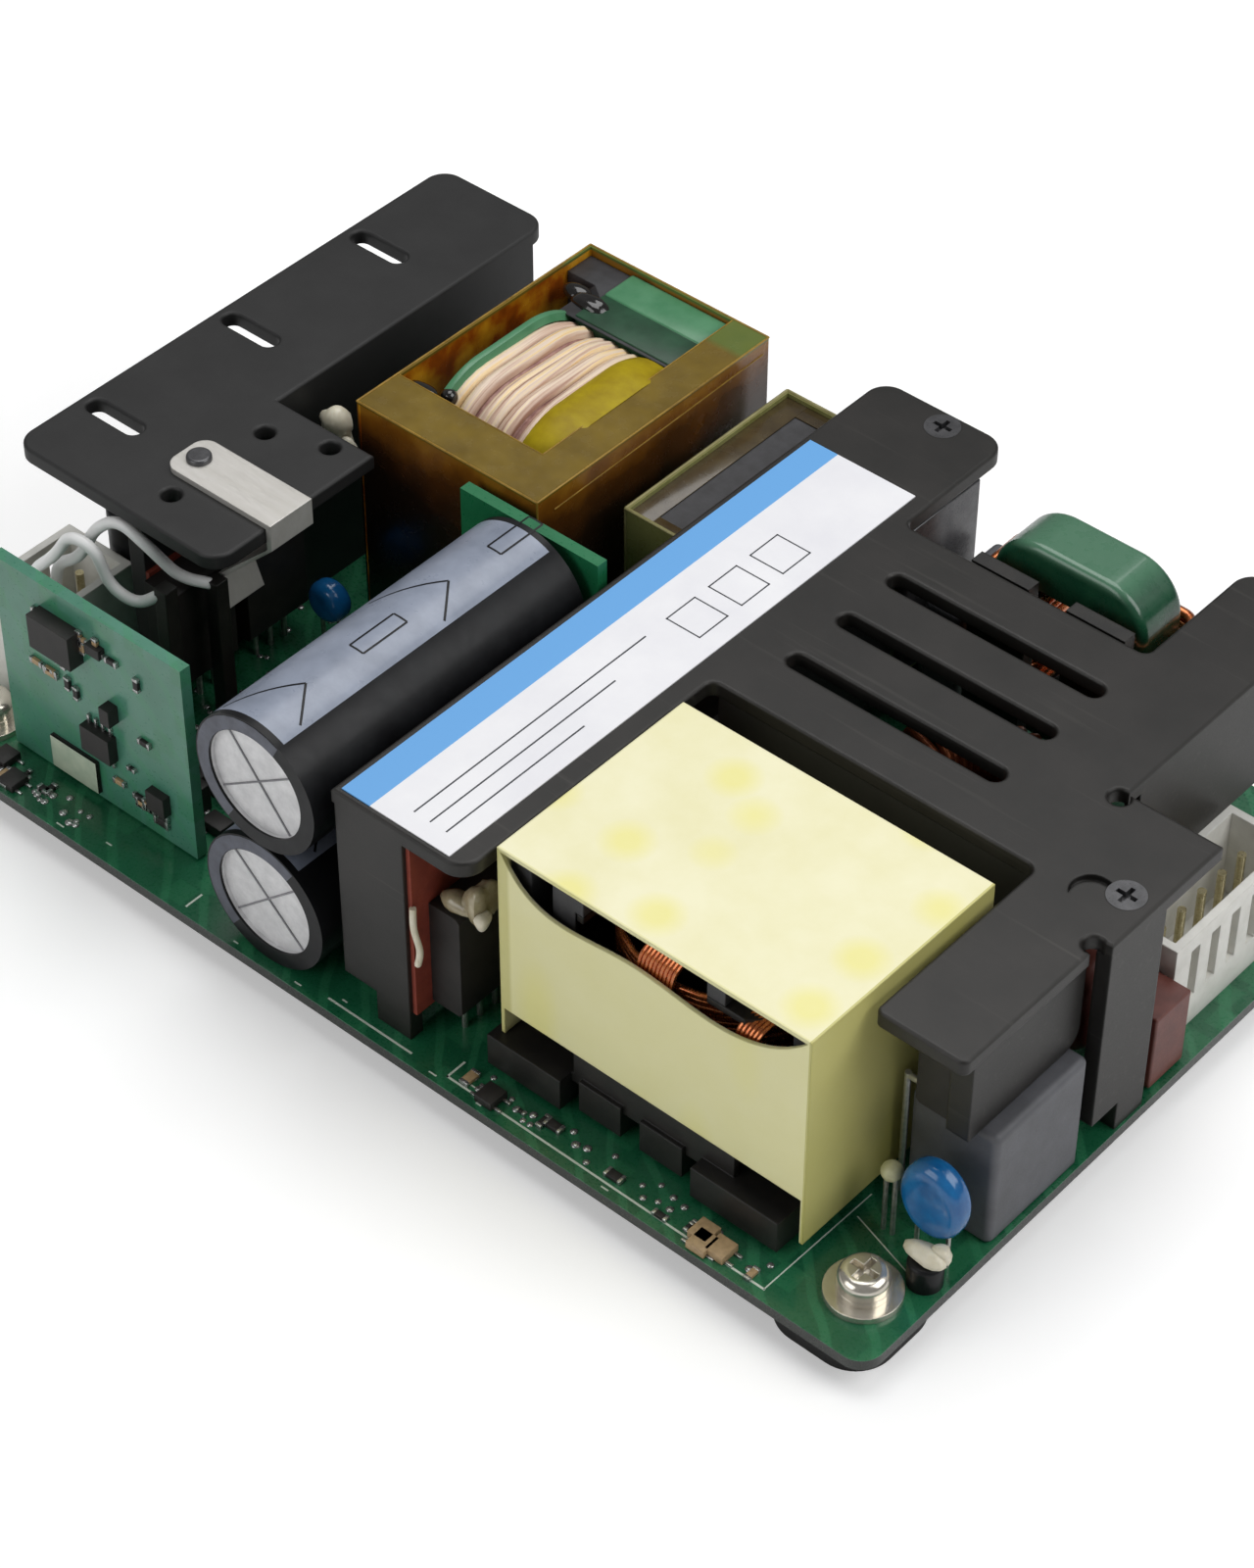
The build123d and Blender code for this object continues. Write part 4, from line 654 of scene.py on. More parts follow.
def runTree(tree, values, base=None):
    # runs a tree on a mesh and gives back the plain mesh that it makes
    holder = bpy.data.objects.new("treeRun", base or bpy.data.meshes.new("treeRun"))
    bpy.context.scene.collection.objects.link(holder)
    modifier = holder.modifiers.new("tree", "NODES")
    modifier.node_group = tree
    for item in tree.interface.items_tree:
        if item.item_type == "SOCKET" and item.in_out == "INPUT" and item.name in values:
            modifier[item.identifier] = values[item.name]
    made = bpy.data.meshes.new_from_object(holder.evaluated_get(bpy.context.evaluated_depsgraph_get()))
    bpy.data.objects.remove(holder)
    return made


def turnsTree():
    # Rounded loops of wire, stacked along Z by Pitch or swung about Z by Swing, then turned and placed.
    tree, given = startTree("wireTurns", {
        "Width": "Float", "Depth": "Float", "Corner": "Float", "Wire": "Float", "Count": "Int",
        "Pitch": "Float", "Swing": "Float", "First": "Float", "Reach": "Float", "Stand": "Vector",
        "Lean": "Float", "Uneven": "Float", "Turn": "Vector", "Place": "Vector", "Wire look": "Material"})
    outline = addNode(tree, "GeometryNodeCurvePrimitiveQuadrilateral", {
        "Width": given["Width"], "Height": given["Depth"]})
    loop = addNode(tree, "GeometryNodeFilletCurve", {
        "Curve": outline["Curve"], "Count": 9, "Radius": given["Corner"]}, mode="POLY")
    section = addNode(tree, "GeometryNodeCurvePrimitiveCircle", {"Resolution": 8, "Radius": given["Wire"]})
    wire = addNode(tree, "GeometryNodeCurveToMesh", {
        "Curve": loop["Curve"], "Profile Curve": section["Curve"]})
    reach = addNode(tree, "ShaderNodeCombineXYZ", {"X": given["Reach"]})
    stood = addNode(tree, "GeometryNodeTransform", {
        "Geometry": wire["Mesh"], "Rotation": given["Stand"], "Translation": reach["Vector"]})
    step = addNode(tree, "ShaderNodeCombineXYZ", {"Z": given["Pitch"]})
    line = addNode(tree, "GeometryNodeMeshLine", {"Count": given["Count"], "Offset": step["Vector"]})
    index = addNode(tree, "GeometryNodeInputIndex")
    swing = addNode(tree, "ShaderNodeMath", {
        0: index["Index"], 1: given["Swing"], 2: given["First"]}, operation="MULTIPLY_ADD")
    leanLow = addNode(tree, "ShaderNodeMath", {0: given["Lean"], 1: -1.0}, operation="MULTIPLY")
    leanX, leanY = (addNode(tree, "FunctionNodeRandomValue", {
        "Min": leanLow[0], "Max": given["Lean"], "Seed": seed}) for seed in (3, 8))
    turnEach = addNode(tree, "ShaderNodeCombineXYZ", {
        "X": leanX["Value"], "Y": leanY["Value"], "Z": swing["Value"]})
    small = addNode(tree, "ShaderNodeMath", {0: 1.0, 1: given["Uneven"]}, operation="SUBTRACT")
    size = addNode(tree, "FunctionNodeRandomValue", {"Min": small[0], "Max": 1.0, "Seed": 5})
    turns = addNode(tree, "GeometryNodeInstanceOnPoints", {
        "Points": line["Mesh"], "Instance": stood["Geometry"], "Rotation": turnEach["Vector"],
        "Scale": size["Value"]})
    placed = addNode(tree, "GeometryNodeTransform", {
        "Geometry": turns["Instances"], "Rotation": given["Turn"], "Translation": given["Place"]})
    return endTree(tree, placed["Geometry"], given["Wire look"])


def domeTree():
    # a flattened dome of solder on every point given
    tree, given = startTree("solderDomes", {
        "Geometry": "Geometry", "Radius": "Float", "Flatness": "Float", "Metal": "Material"})
    ball = addNode(tree, "GeometryNodeMeshUVSphere", {"Segments": 12, "Rings": 8, "Radius": given["Radius"]})
    low = addNode(tree, "ShaderNodeCombineXYZ", {"X": 1.0, "Y": 1.0, "Z": given["Flatness"]})
    dome = addNode(tree, "GeometryNodeTransform", {"Geometry": ball["Mesh"], "Scale": low["Vector"]})
    size = addNode(tree, "FunctionNodeRandomValue", {"Min": 0.75, "Max": 1.2, "Seed": 21})
    domes = addNode(tree, "GeometryNodeInstanceOnPoints", {
        "Points": given["Geometry"], "Instance": dome["Geometry"], "Scale": size["Value"]})
    return endTree(tree, domes["Instances"], given["Metal"])


# Windings

turns = turnsTree()


def windCoil(name, runs, replaced=None):
    # one winding of one or more runs of turns, standing for a CAD node where one is given
    joined = bmesh.new()
    for run in runs:
        for length in ("Width", "Depth", "Corner", "Wire", "Pitch", "Reach"):
            run[length] = run.get(length, 0.0) * mm
        joined.from_mesh(runTree(turns, run))
    data = bpy.data.meshes.new(name)
    joined.to_mesh(data)
    joined.free()
    data.materials.append(runs[0]["Wire look"])
    data.shade_smooth()
    piece = placePiece(name, data)
    if replaced:
        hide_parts(replaced)


# the boost choke's turns are rounded oblongs, wider across the box than they are high
boostCoil = {
    "wide": 14.9, "high": 14.0, "corner": 10.6,  # mm, half sizes and corner of a turn
    "middle": (21.2, 21.6),                      # mm, y and z of the turns' axis
    "outer": {"Wire": 1.12, "Count": 6, "Pitch": 2.0, "Lean": 0.055, "Uneven": 0.035},
    "outerFirst": -38.5,                         # mm, x of the first turn
    "under": {"Wire": 0.7, "Count": 18, "Pitch": 0.92, "Lean": 0.008, "Uneven": 0.008},
    "underFirst": -39.2,
    "underInset": 0.75,                          # mm, how much smaller the layer below is
}
for name, layer, inset, look, replaced in (
        ("boostTurns", "outer", 0, "litz", "boost_choke_winding"),
        ("boostUnderTurns", "under", boostCoil["underInset"], "litzUnder", None)):
    windCoil(name, [{
        "Width": 2 * (boostCoil["high"] - inset), "Depth": 2 * (boostCoil["wide"] - inset),
        "Corner": boostCoil["corner"] - inset, "Turn": (0, math.pi / 2, 0),
        "Place": at(boostCoil[layer + "First"], *boostCoil["middle"]), "Wire look": finish[look],
        **boostCoil[layer]}], replaced)

transformerCoil = {
    "radius": 13.7, "middle": (39.6, -28.1), "first": 15.0,  # mm, of a turn, its axis, the lowest turn
    "turns": {"Wire": 0.46, "Count": 15, "Pitch": 0.9, "Lean": 0.03, "Uneven": 0.02},
}
windCoil("transformerTurns", [{
    "Width": 2 * transformerCoil["radius"], "Depth": 2 * transformerCoil["radius"],
    "Corner": transformerCoil["radius"] * 0.995, "Wire look": finish["copper"],
    "Place": at(*transformerCoil["middle"], transformerCoil["first"]), **transformerCoil["turns"]}],
    "transformer_winding")

# wires that show in the tape's near opening and go down behind it
leads = {
    "radius": 0.29, "step": 0.52,  # mm, of one wire, from one to the next
    "groups": (                    # how many, the first one's x, how much tops differ, the route from x
        (10, 37.3, 0.05, ((1.6, -36.5, 33.0), (0.8, -40.4, 32.4), (0.0, -42.4, 30.2), (-0.3, -42.7, 26.5))),
        (6, 51.0, 0.0, ((0.6, -39.0, 30.0), (0.0, -42.2, 28.6), (-0.3, -42.7, 25.0))),
    ),
}
bundle = bmesh.new()
for count, first, drop, route in leads["groups"]:
    for i in range(count):
        x = first + leads["step"] * i
        path = [(x + aside, y, z) for aside, y, z in route]
        path[0] = (*path[0][:2], path[0][2] - drop * (i % 3))
        addTube(bundle, smoothPath(path, 5), leads["radius"])
makePiece("transformerLeads", bundle, ["copper"], 60)

filterCoil = {
    "x": (28.5, 44.5), "y": 38.6, "first": 14.4,  # mm, the two coils' axes and their lowest turn
    "turns": {"Width": 9.2, "Depth": 11.0, "Corner": 2.4, "Wire": 0.7, "Count": 9, "Pitch": 1.6,
              "Lean": 0.03, "Uneven": 0.03},
}
windCoil("filterTurns", [
    {"Place": at(x, filterCoil["y"], filterCoil["first"]), "Wire look": finish["copper"],
     **filterCoil["turns"]} for x in filterCoil["x"]
], "filter_choke_windings")

ringCoil = {
    "middle": (41.0, 11.0, 10.8), "count": 17,   # mm; turns in each of the two windings
    "spread": 140, "starts": (20, 200),          # degrees that a winding covers, where each begins
    "turns": {"Width": 7.6, "Depth": 15.8, "Corner": 2.2, "Wire": 0.7, "Reach": 9.5, "Lean": 0.02,
              "Uneven": 0.02},
}
windCoil("ringTurns", [
    {"Count": ringCoil["count"], "Swing": math.radians(ringCoil["spread"] / (ringCoil["count"] - 1)),
     "First": math.radians(start), "Stand": (math.pi / 2, 0, 0), "Place": at(*ringCoil["middle"]),
     "Wire look": finish["copperShaded"], **ringCoil["turns"]}
    for start in ringCoil["starts"]
], "ring_choke_windings")
print("windings done")


# Boost choke dressing

tape = {
    "yellow": (-28.4, -21.6),                                    # mm, x of the band's edges
    "yellowLifts": (0.1, 0.95, 1.25, 1.3, 1.25, 1.1, 0.9),       # mm off the turns, across the band
    "green": (-41.1, -39.4),
    "greenLifts": (0.3, 1.5, 1.6, 1.5, 0.6),
    "leg": ((-38.6, 37.6, 30.6), (-17.3, 43.15, 35.62)),         # mm, the taped far leg
    "paintedShadeStrip": ((-38.6, 32.2, 33.2), (-17.3, 37.8, 35.42)),         # mm, its edge towards the turns: painted shade
}


def bandRows(span, lifts, reach, steps=48):
    # rows of a band round the boost choke's turns, reach degrees to each side from straight up
    rows = []
    corner = boostCoil["corner"]
    for i in range(steps + 1):
        a = math.radians(-reach + 2 * reach * i / steps)
        rows.append([])
        for j, lift in enumerate(lifts):
            y = math.copysign(boostCoil["wide"] - corner, math.sin(a)) + (corner + lift) * math.sin(a)
            z = math.copysign(boostCoil["high"] - corner, math.cos(a)) + (corner + lift) * math.cos(a)
            x = span[0] + (span[1] - span[0]) * j / (len(lifts) - 1)
            rows[-1].append(at(x, boostCoil["middle"][0] + y, boostCoil["middle"][1] + z))
    return rows


tapes = bmesh.new()
addStrip(tapes, bandRows(tape["yellow"], tape["yellowLifts"], 105), 0)
addStrip(tapes, bandRows(tape["green"], tape["greenLifts"], 100), 1)
addBlock(tapes, *tape["leg"], 0.35, 1)
addBlock(tapes, *tape["paintedShadeStrip"], 0.15, 2)
makePiece("boostTapes", tapes, ["yellowTape", "greenTape", "greenShade"], 50, outward=False)

# the boost choke's core with the top of its near leg taken down, so that the turns show up to the flap
coreCut = at(0, 15.2, 30.6)
core = bmesh.new()
core.from_mesh(nodes["boost_choke_core"].data)
core.transform(nodes["boost_choke_core"].matrix_world)
bmesh.ops.remove_doubles(core, verts=core.verts, dist=0.001 * mm)
for normal in ((0, 1, 0), (0, 0, 1)):
    bmesh.ops.bisect_plane(core, geom=core.verts[:] + core.edges[:] + core.faces[:],
                           plane_co=coreCut, plane_no=normal)
middles = {f: f.calc_center_median() for f in core.faces}
nearTop = [f for f, m in middles.items() if m.y < coreCut[1] and m.z > coreCut[2]]
bmesh.ops.delete(core, geom=nearTop, context="FACES")
bmesh.ops.holes_fill(core, edges=[e for e in core.edges if e.is_boundary], sides=0)
cutCore = makePiece("boostCore", core, ["ferrite"], 35)
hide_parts("boost_choke_core")

varnish = {
    "rough": 0.1,
    "beads": (  # centre and half sizes in mm, seed of the unevenness
        ((-39.6, 10.2, 34.8), (1.2, 1.1, 1.1), 4),
        ((-42.2, 8.6, 35.3), (2.3, 1.1, 0.7), 5),
        ((-38.6, 35.2, 35.3), (3.0, 1.4, 0.9), 6),
        ((-42.0, 36.4, 34.6), (2.0, 1.4, 1.3), 7),
    ),
}
beads = bmesh.new()
for centre, size, seed in varnish["beads"]:
    addBlob(beads, centre, size, seed, varnish["rough"])
makePiece("chokeBeads", beads, ["bead"], 60)

boostBox = {  # mm
    "x": (-46.0, -16.6), "y": (0.8, 43.5), "top": 36.42,
    "inner": (-45.65, 43.15),   # inner faces of the left and far walls
    "flaps": (8.0, -22.2),      # y of the near flap's edge and x of the right one's
    "foot": 22,                 # height at which the corner's rim starts
    "tuck": (33.6, 34.4),       # heights of the fold on the right wall
    "rims": {"outline": 0.14, "mouth": 0.08, "corner": 0.12, "fold": 0.09},  # radius of each painted highlight
}
(left, right), (near, far), top = boostBox["x"], boostBox["y"], boostBox["top"]
(innerLeft, innerFar), (flapNear, flapRight) = boostBox["inner"], boostBox["flaps"]
filmEdges = {
    "outline": [(left, near, top), (right, near, top), (right, far, top), (left, far, top),
                (left, near, top)],
    "mouth": [(innerLeft, flapNear, top), (flapRight, flapNear, top), (flapRight, innerFar, top)],
    "corner": [(right, near, boostBox["foot"]), (right, near, top)],
    "fold": [(right + 0.02, near + 3, boostBox["tuck"][0]), (right + 0.02, far - 1, boostBox["tuck"][1])],
}
# pale amber tubes along the film's edges: painted highlights
rims = bmesh.new()
for edge, places in filmEdges.items():
    addRims(rims, places, boostBox["rims"][edge])
makePiece("filmEdgeHighlights", rims, ["amberEdgeHighlight"], 60)

oliveBox = {  # mm
    "x": (-13.3, 13.2), "y": (12.9, 43.4), "foot": 5, "top": 29.9,
    "rim": 0.24, "cornerRim": 0.2,
    "film": (29.12, 29.3),      # heights of the darker film that lies on the core
    "flaps": (((-13.0, 13.2), (-9.7, 43.1)), ((-9.7, 13.2), (12.9, 15.0)), ((-9.7, 40.6), (12.9, 43.1))),
}
(left, right), (near, far), top = oliveBox["x"], oliveBox["y"], oliveBox["top"]
# pale tubes on the box's top edges and near-left corner are painted highlights; the flaps are dark film on
# the core
oliveEdgeHighlights = bmesh.new()
addRims(oliveEdgeHighlights, [(left, near, top), (right, near, top), (right, far, top), (left, far, top),
                    (left, near, top)], oliveBox["rim"])
addRims(oliveEdgeHighlights, [(left, near, oliveBox["foot"]), (left, near, top)], oliveBox["cornerRim"])
for low, high in oliveBox["flaps"]:
    addBlock(oliveEdgeHighlights, (*low, oliveBox["film"][0]), (*high, oliveBox["film"][1]), 0.05, 1)
makePiece("oliveEdgeHighlights", oliveEdgeHighlights, ["oliveEdgeHighlight", "oliveDark"], 60)
print("choke dressing done")


# Reservoir capacitors: printed stripe, plain marks, end crosses

can = {
    "x": -14.2, "heights": (27.9, 9.3), "radius": 9.3, "near": -49.0, "far": -4.0,  # mm
    "stripe": (-28, 52), "stripeTurns": (0, -6),    # degrees from straight up, and how each can is turned
    "lip": (7.28, 9.1),                             # mm, inner and outer radius of the stripe on the lip
    "squares": (-28.9, -5.9), "squareAngles": (-8, 5), "squareHalf": 3.6,  # y of each, degrees, mm
    "arrows": (-40.4, -17.0), "arrowPlaces": ((38, -7.4), (0, 0.0), (-24, -4.8)),  # y, (degrees, mm)
    "crossAngles": (-52, 35), "crossTurns": (0, 8),  # degrees from level, and how each can's end is turned
    "crossReach": 7.2, "groove": 0.13,               # mm, half a line of the cross, its radius
}


def onSleeve(angle, y, lift, height):
    # a place on a sleeve, its angle in degrees from straight up towards the left
    a = math.radians(angle)
    r = can["radius"] + lift
    return at(can["x"] - r * math.sin(a), y, height + r * math.cos(a))


def sleevePatch(mesh, height, a0, a1, y0, y1, lift, ink):
    # a printed field between two angles and two places along the can
    steps = max(2, int(abs(a1 - a0) / 4))
    angles = [a0 + (a1 - a0) * i / steps for i in range(steps + 1)]
    addStrip(mesh, [[onSleeve(a, y, lift, height) for y in (y0, y1)] for a in angles], ink)


def sleeveLine(mesh, height, places, width, lift, ink):
    # a printed line over the sleeve between places (angle, y)
    perDegree = math.pi / 180 * can["radius"]
    for (a0, y0), (a1, y1) in zip(places, places[1:]):
        across = Vector((a1 - a0, (y1 - y0) / perDegree))
        across = Vector((-across.y, across.x)).normalized() * width / 2 / perDegree
        steps = max(1, int(abs(a1 - a0) / 5))
        rows = []
        for i in range(steps + 1):
            a = a0 + (a1 - a0) * i / steps
            y = y0 + (y1 - y0) * i / steps
            rows.append([onSleeve(a + s * across.x, y + s * across.y * perDegree, lift, height)
                         for s in (-1, 1)])
        addStrip(mesh, rows, ink)


marks = bmesh.new()
for height, turn in zip(can["heights"], can["stripeTurns"]):
    first, last = (angle + turn for angle in can["stripe"])
    sleevePatch(marks, height, first, last, can["near"] + 0.6, can["far"] - 0.6, 0.03, 0)
    lip = [math.radians(first + 11 * i) for i in range(17)]
    addStrip(marks, [[at(can["x"] - r * math.sin(a), can["near"] - 0.33, height + r * math.cos(a))
                      for r in can["lip"]] for a in lip], 2)
    a0, a1 = (angle + turn for angle in can["squareAngles"])
    half = can["squareHalf"]
    for y in can["squares"]:
        sleeveLine(marks, height, [(a0, y - half), (a1, y - half), (a1, y + half), (a0, y + half),
                                   (a0, y - half)], 0.28, 0.05, 1)
    for y in can["arrows"]:
        sleeveLine(marks, height, [(a + turn, y + along) for a, along in can["arrowPlaces"]], 0.3, 0.05, 1)
makePiece("sleeveMarks", marks, ["sleeveStripe", "sleeve", "sleeveLip"], 60,
          outward=False)

ends = bmesh.new()
for height, spin in zip(can["heights"], can["crossTurns"]):
    for angle in can["crossAngles"]:
        a = math.radians(angle + spin)
        addTube(ends, [(can["x"] + s * math.cos(a), can["near"] + 0.42, height + s * math.sin(a))
                       for s in (-can["crossReach"], can["crossReach"])], can["groove"])
makePiece("canVents", ends, ["ventGroove"], 60)
print("capacitor marks done")


# Label: plain ruled lines in place of print

label = {  # mm
    "top": 33.25, "thick": 0.01,
    "lines": ((6.2, -6.0), (8.6, -14.0), (11.0, -22.0)),  # x and far end of each
    "linesFrom": -44.5, "lineWidth": 0.22,
    "boxes": (-2.0, 5.5, 13.0), "boxX": (6.0, 11.0), "boxLong": 5.0, "boxWidth": 0.2,
}
rules = bmesh.new()
for x, far in label["lines"]:
    addRibbon(rules, [(x, label["linesFrom"]), (x, far)], label["lineWidth"], label["top"], label["thick"])
for near in label["boxes"]:
    (left, right), far = label["boxX"], near + label["boxLong"]
    addRibbon(rules, [(left, near), (left, far), (right, far), (right, near), (left, near)],
              label["boxWidth"], label["top"], label["thick"])
makePiece("labelRules", rules, ["ink"], 60)
print("label rules done")


# Boards: legend lines, chips, solder

silk = {
    "lines": (  # width, then the two ends, mm
        (0.16, (61.1, -49.4), (61.4, -31.2)),
        (0.16, (62.3, -34.7), (74.2, -38.2)),
        (0.28, (14.2, -49.2), (61.1, -49.4)),
        (0.28, (14.2, -49.2), (14.2, -46.4)),
        (0.28, (-27.6, -49.6), (-27.6, -47.2)),
        (0.28, (-4.4, -49.3), (8.6, -49.3)),
    ),
    "ticks": 12, "tickX": (-60, 60), "tickY": (-50.0, -48.4), "tickLong": (0.5, 1.2), "tickWidth": 0.2,
}
legend = bmesh.new()
for width, start, end in silk["lines"]:
    addRibbon(legend, [start, end], width, 0.0)
ticks = random.Random(12)
for i in range(silk["ticks"]):
    x = ticks.uniform(*silk["tickX"])
    y = ticks.choice(silk["tickY"])
    addRibbon(legend, [(x, y), (x + ticks.uniform(*silk["tickLong"]), y)], silk["tickWidth"], 0.0)
makePiece("boardLegend", legend, ["silk"], 60)

edgeChips = {
    "left": (9, (-66, -48)), "right": (15, (15, 59)),  # how many, and between which x
    "y": (-49.2, -46.4),
    "sizes": ((1.6, 0.8, 0.5), (2.0, 1.2, 0.55), (1.0, 0.5, 0.4), (2.8, 2.6, 1.1)),  # mm
}
chips = bmesh.new()
place = random.Random(5)
for count, span in (edgeChips["left"], edgeChips["right"]):
    for i in range(count):
        x = place.uniform(*span)
        y = place.uniform(*edgeChips["y"])
        w, d, h = place.choice(edgeChips["sizes"])
        if place.random() < 0.5:
            w, d = d, w
        ink = place.choice((0, 0, 1))
        addBlock(chips, (x - w / 2, y - d / 2, 0.02), (x + w / 2, y + d / 2, h), 0.08, ink)
        for s in (-1, 1):
            if h > 0.6:  # two leads down each side
                c = x + s * (w / 2 + 0.5)
                for t in (-0.8, 0.8):
                    addBlock(chips, (c - 0.5, y + t - 0.2, 0.02), (c + 0.5, y + t + 0.2, 0.3), 0.05, 2)
            else:  # a solder cap on each end
                c = (x + s * w / 2, y) if w > d else (x, y + s * d / 2)
                e = (0.22, d / 2 + 0.04) if w > d else (w / 2 + 0.04, 0.22)
                addBlock(chips, (c[0] - e[0], c[1] - e[1], 0.01), (c[0] + e[0], c[1] + e[1], h + 0.03),
                         0.06, 2)
makePiece("boardChips", chips, ["epoxy", "buffBody", "solder"], 40)

control = {  # mm, on the upright board's near face
    "face": -43.4, "x": (-61.8, -34.0), "z": (2.3, 28.4),
    "chip": (-49.6, 8.6, 4.9, 3.9),            # left, low, width and height of the large chip
    "leads": 4, "leadFirst": 0.6, "leadStep": 1.23,
    "foam": ((-56.4, 1.2), (-48.4, 6.2)),
    "count": 46,
    "groups": (  # middle x and z of each group of small parts, its width and height
        (-44.5, 13.5, 5.5, 6.0), (-38.5, 4.5, 3.5, 2.6), (-55.0, 20.0, 6.0, 5.0), (-48.0, 25.0, 9.0, 2.5)),
    "sizes": ((1.6, 0.8), (0.8, 1.6), (1.0, 0.5), (2.0, 1.2)),
}
face = control["face"]
chipLeft, chipLow, chipWide, chipHigh = control["chip"]
parts = bmesh.new()


def onControl(x0, z0, x1, z1, depth, edge, ink):
    # a block on the upright board's near face
    addBlock(parts, (x0, face - depth, z0), (x1, face, z1), edge, ink)


for i in range(control["leads"]):
    x = chipLeft + control["leadFirst"] + i * control["leadStep"]
    onControl(x - 0.2, chipLow - 1.3, x + 0.2, chipLow + 0.2, 0.45, 0.08, 2)
    onControl(x - 0.2, chipLow + chipHigh - 0.2, x + 0.2, chipLow + chipHigh + 1.3, 0.45, 0.08, 2)
place = random.Random(19)
for i in range(control["count"]):
    groupX, groupZ, wide, high = control["groups"][i % 4]
    x = min(max(place.gauss(groupX, wide / 2), control["x"][0]), control["x"][1])
    z = min(max(place.gauss(groupZ, high / 2), control["z"][0]), control["z"][1])
    onChip = chipLeft - 2 < x < chipLeft + chipWide + 2 and chipLow - 2.5 < z < chipLow + chipHigh + 2.5
    if onChip or -58 < x < -47 and z < 8:
        continue
    w, d = place.choice(control["sizes"])
    onControl(x - w / 2, z - d / 2, x + w / 2, z + d / 2, 0.5, 0.08, place.choice((0, 1, 0)))
    for s in (-1, 1):
        if w > d:
            c = x + s * w / 2
            onControl(c - 0.22, z - d / 2 - 0.04, c + 0.22, z + d / 2 + 0.04, 0.54, 0.06, 2)
        else:
            c = z + s * d / 2
            onControl(x - w / 2 - 0.04, c - 0.22, x + w / 2 + 0.04, c + 0.22, 0.54, 0.06, 2)
(left, low), (right, high) = control["foam"]
addBlock(parts, (left, face - 0.64, low), (right, face - 0.3, high), 0.1, 3)
makePiece("controlParts", parts, ["epoxy", "buffBody", "solder", "fawn"], 40)

scatter = {  # mm, small parts that can't be made out, between the upright board and the output heatsink
    "count": 70, "x": (-47.0, -25.0), "y": (-40.5, -3.0),
    "sizes": ((2.4, 1.6, 1.2), (1.4, 1.4, 2.6), (3.4, 2.4, 1.6), (1.0, 2.0, 0.8), (2.0, 2.0, 4.2)),
    "keepOff": (-45.8, -6.0, 4),  # x, y and radius of a round place left clear
}
clutter = bmesh.new()
small = random.Random(77)
clearX, clearY, clearRadius = scatter["keepOff"]
for i in range(scatter["count"]):
    x = small.uniform(*scatter["x"])
    y = small.uniform(*scatter["y"])
    if x > -26.5 and y > -4.5 or (x - clearX) ** 2 + (y - clearY) ** 2 < clearRadius ** 2:
        continue
    w, d, h = small.choice(scatter["sizes"])
    ink = small.choice((0, 0, 0, 1))
    addBlock(clutter, (x - w / 2, y - d / 2, 0.0), (x + w / 2, y + d / 2, h), 0.15, ink)
    addBlock(clutter, (x - w / 2 - 0.3, y - d / 4, 0.0), (x + w / 2 + 0.3, y + d / 4, 0.35), 0.08, 2)
makePiece("boardClutter", clutter, ["epoxy", "buffBody", "solder"], 40)

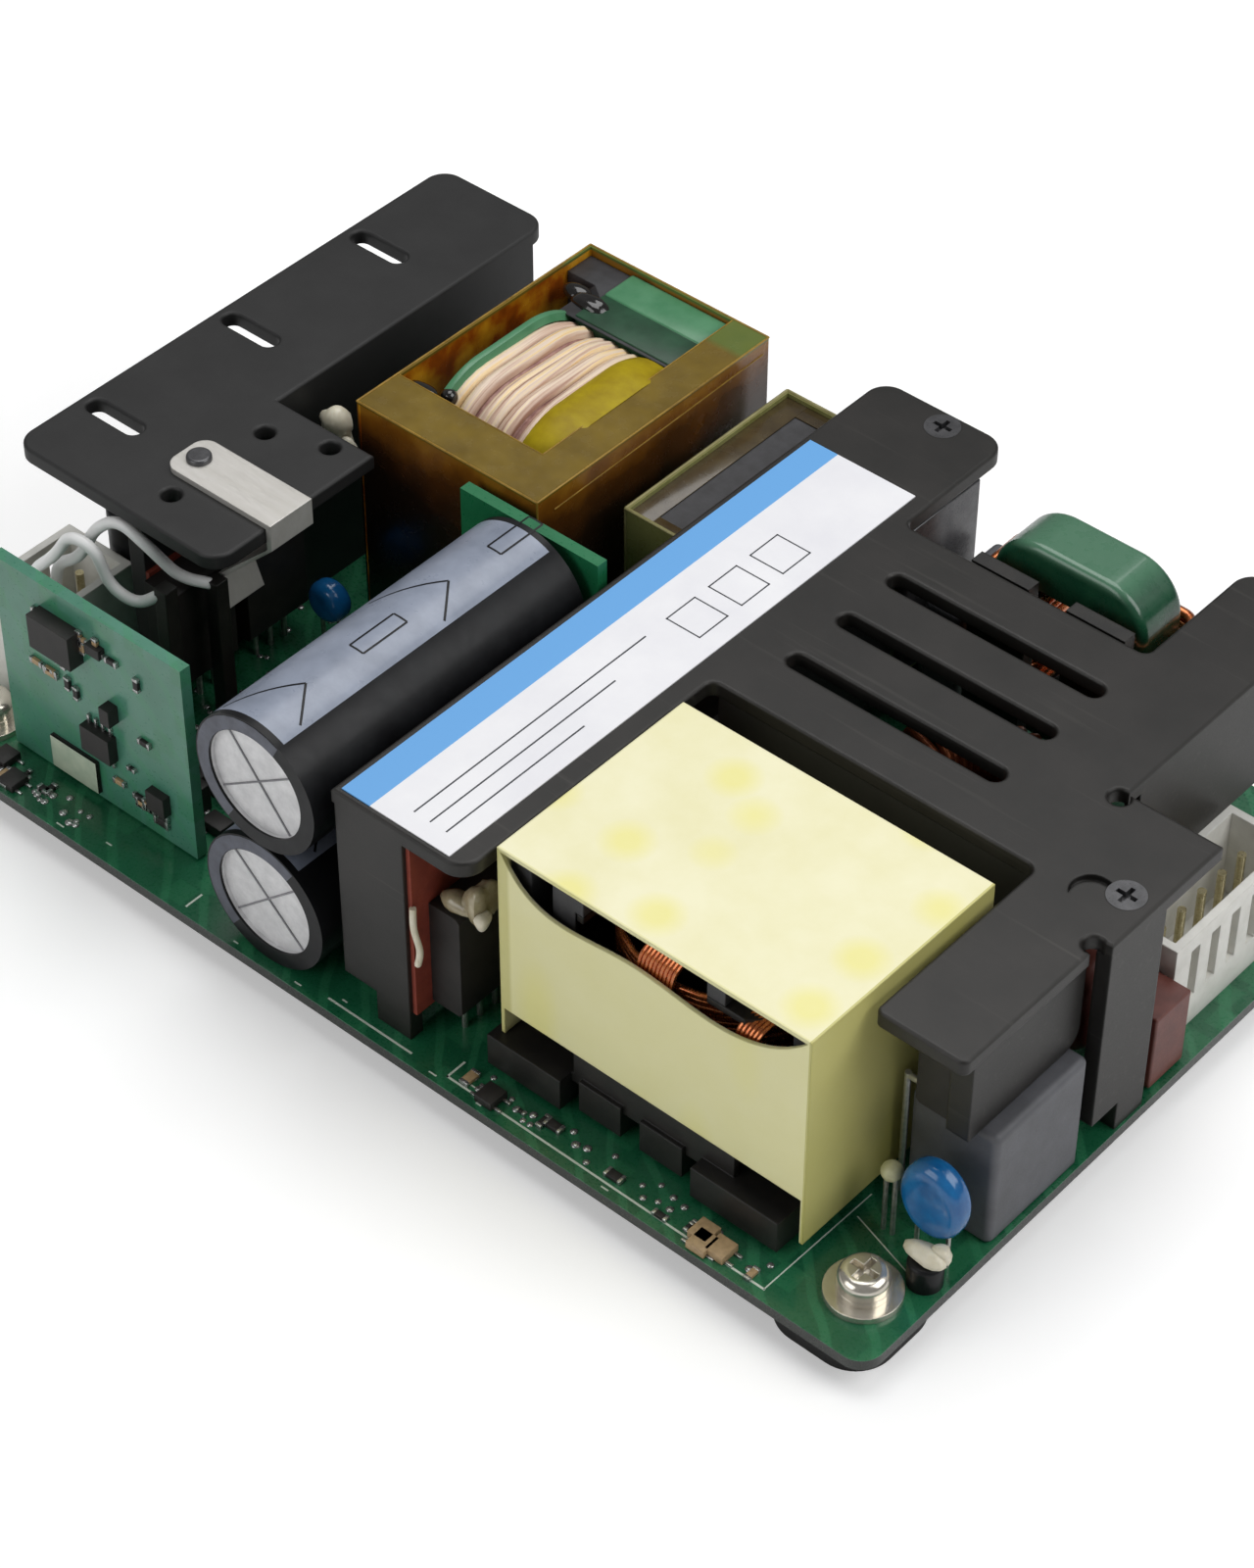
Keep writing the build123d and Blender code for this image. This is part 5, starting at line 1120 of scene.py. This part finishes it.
solder = {
    "dome": {"Radius": 0.5 * mm, "Flatness": 0.45, "Metal": finish["solder"]},
    "nearEdge": (26, (15, 60), (-48.6, -45.4)),  # how many, and between which x and y, mm
    "leftEdge": (16, (-54, 4), (-49.0, -45.4)),  # the same, with x as a middle and its spread
    "middle": (60, (-60, -26), (-40, 0)),
    "clear": (-24, -4),                          # mm, no joint between these x, where the capacitors lie
}
joints = random.Random(44)
spots = []
for name, draw in (("nearEdge", joints.uniform), ("leftEdge", joints.gauss), ("middle", joints.uniform)):
    count, across, along = solder[name]
    spots += [at(draw(*across), joints.uniform(*along), 0.02) for i in range(count)]
spots = [p for p in spots if not (solder["clear"][0] * mm < p.x < solder["clear"][1] * mm)]
points = bpy.data.meshes.new("solderPoints")
points.from_pydata([tuple(p) for p in spots], [], [])
domes = runTree(domeTree(), solder["dome"], points)
domes.materials.clear()
domes.materials.append(finish["solder"])
placePiece("solderJoints", domes)
print("board details done")


# Glue and small fixings

glueSpots = {
    "lumps": (  # centre and half sizes in mm, seed, unevenness, 0 for milky or 1 for clear glue
        ((11.0, -43.2, 21.4), (2.6, 1.6, 1.2), 1, 0.3, 1),
        ((13.8, -42.2, 22.6), (1.7, 2.0, 2.2), 2, 0.3, 1),
        ((15.0, -43.4, 21.2), (1.0, 1.0, 1.3), 9, 0.3, 0),
        ((73.2, -36.8, 4.3), (2.5, 1.6, 0.95), 11, 0.2, 0),
        ((74.6, -35.9, 4.5), (1.3, 1.1, 0.9), 12, 0.2, 0),
        ((-52.4, 3.2, 27.6), (3.2, 1.6, 2.8), 13, 0.2, 0),
        ((-49.8, 2.6, 25.4), (1.7, 1.3, 2.2), 14, 0.2, 0),
    ),
    "run": ((8.0, -47.3, 21.5), (8.2, -47.5, 18.5), (8.9, -47.4, 15.5), (8.4, -47.3, 12.8)),
    "runRadius": 0.42,
}
glue = bmesh.new()
for lump in glueSpots["lumps"]:
    addBlob(glue, *lump)
addTube(glue, smoothPath(glueSpots["run"]), glueSpots["runRadius"], 8)
makePiece("fixingGlue", glue, ["glue", "clearGlue"], 60)

shadeFill = {  # black sheets put where there is only shade, a painted shade; two corners of each, mm
    "behindCutOut": ((17.2, -5.9, 13.0), (62.0, -5.6, 31.2)),
    "besideChoke": ((13.75, 8.0, 4.0), (13.95, 31.0, 30.4)),
}
sheets = bmesh.new()
for low, high in shadeFill.values():
    addBlock(sheets, low, high, 0.05)
makePiece("shadeFillSheets", sheets, ["anodisedMatt"], 40)

bracketSpan = ((14.2, 31.4, 8.0), (15.7, 45.0, 30.4))  # mm, it shows at the far notch's left edge
bracket = bmesh.new()
addBlock(bracket, *bracketSpan, 0.2)
makePiece("notchBracket", bracket, ["screwGrey"], 60)
print("glue done")
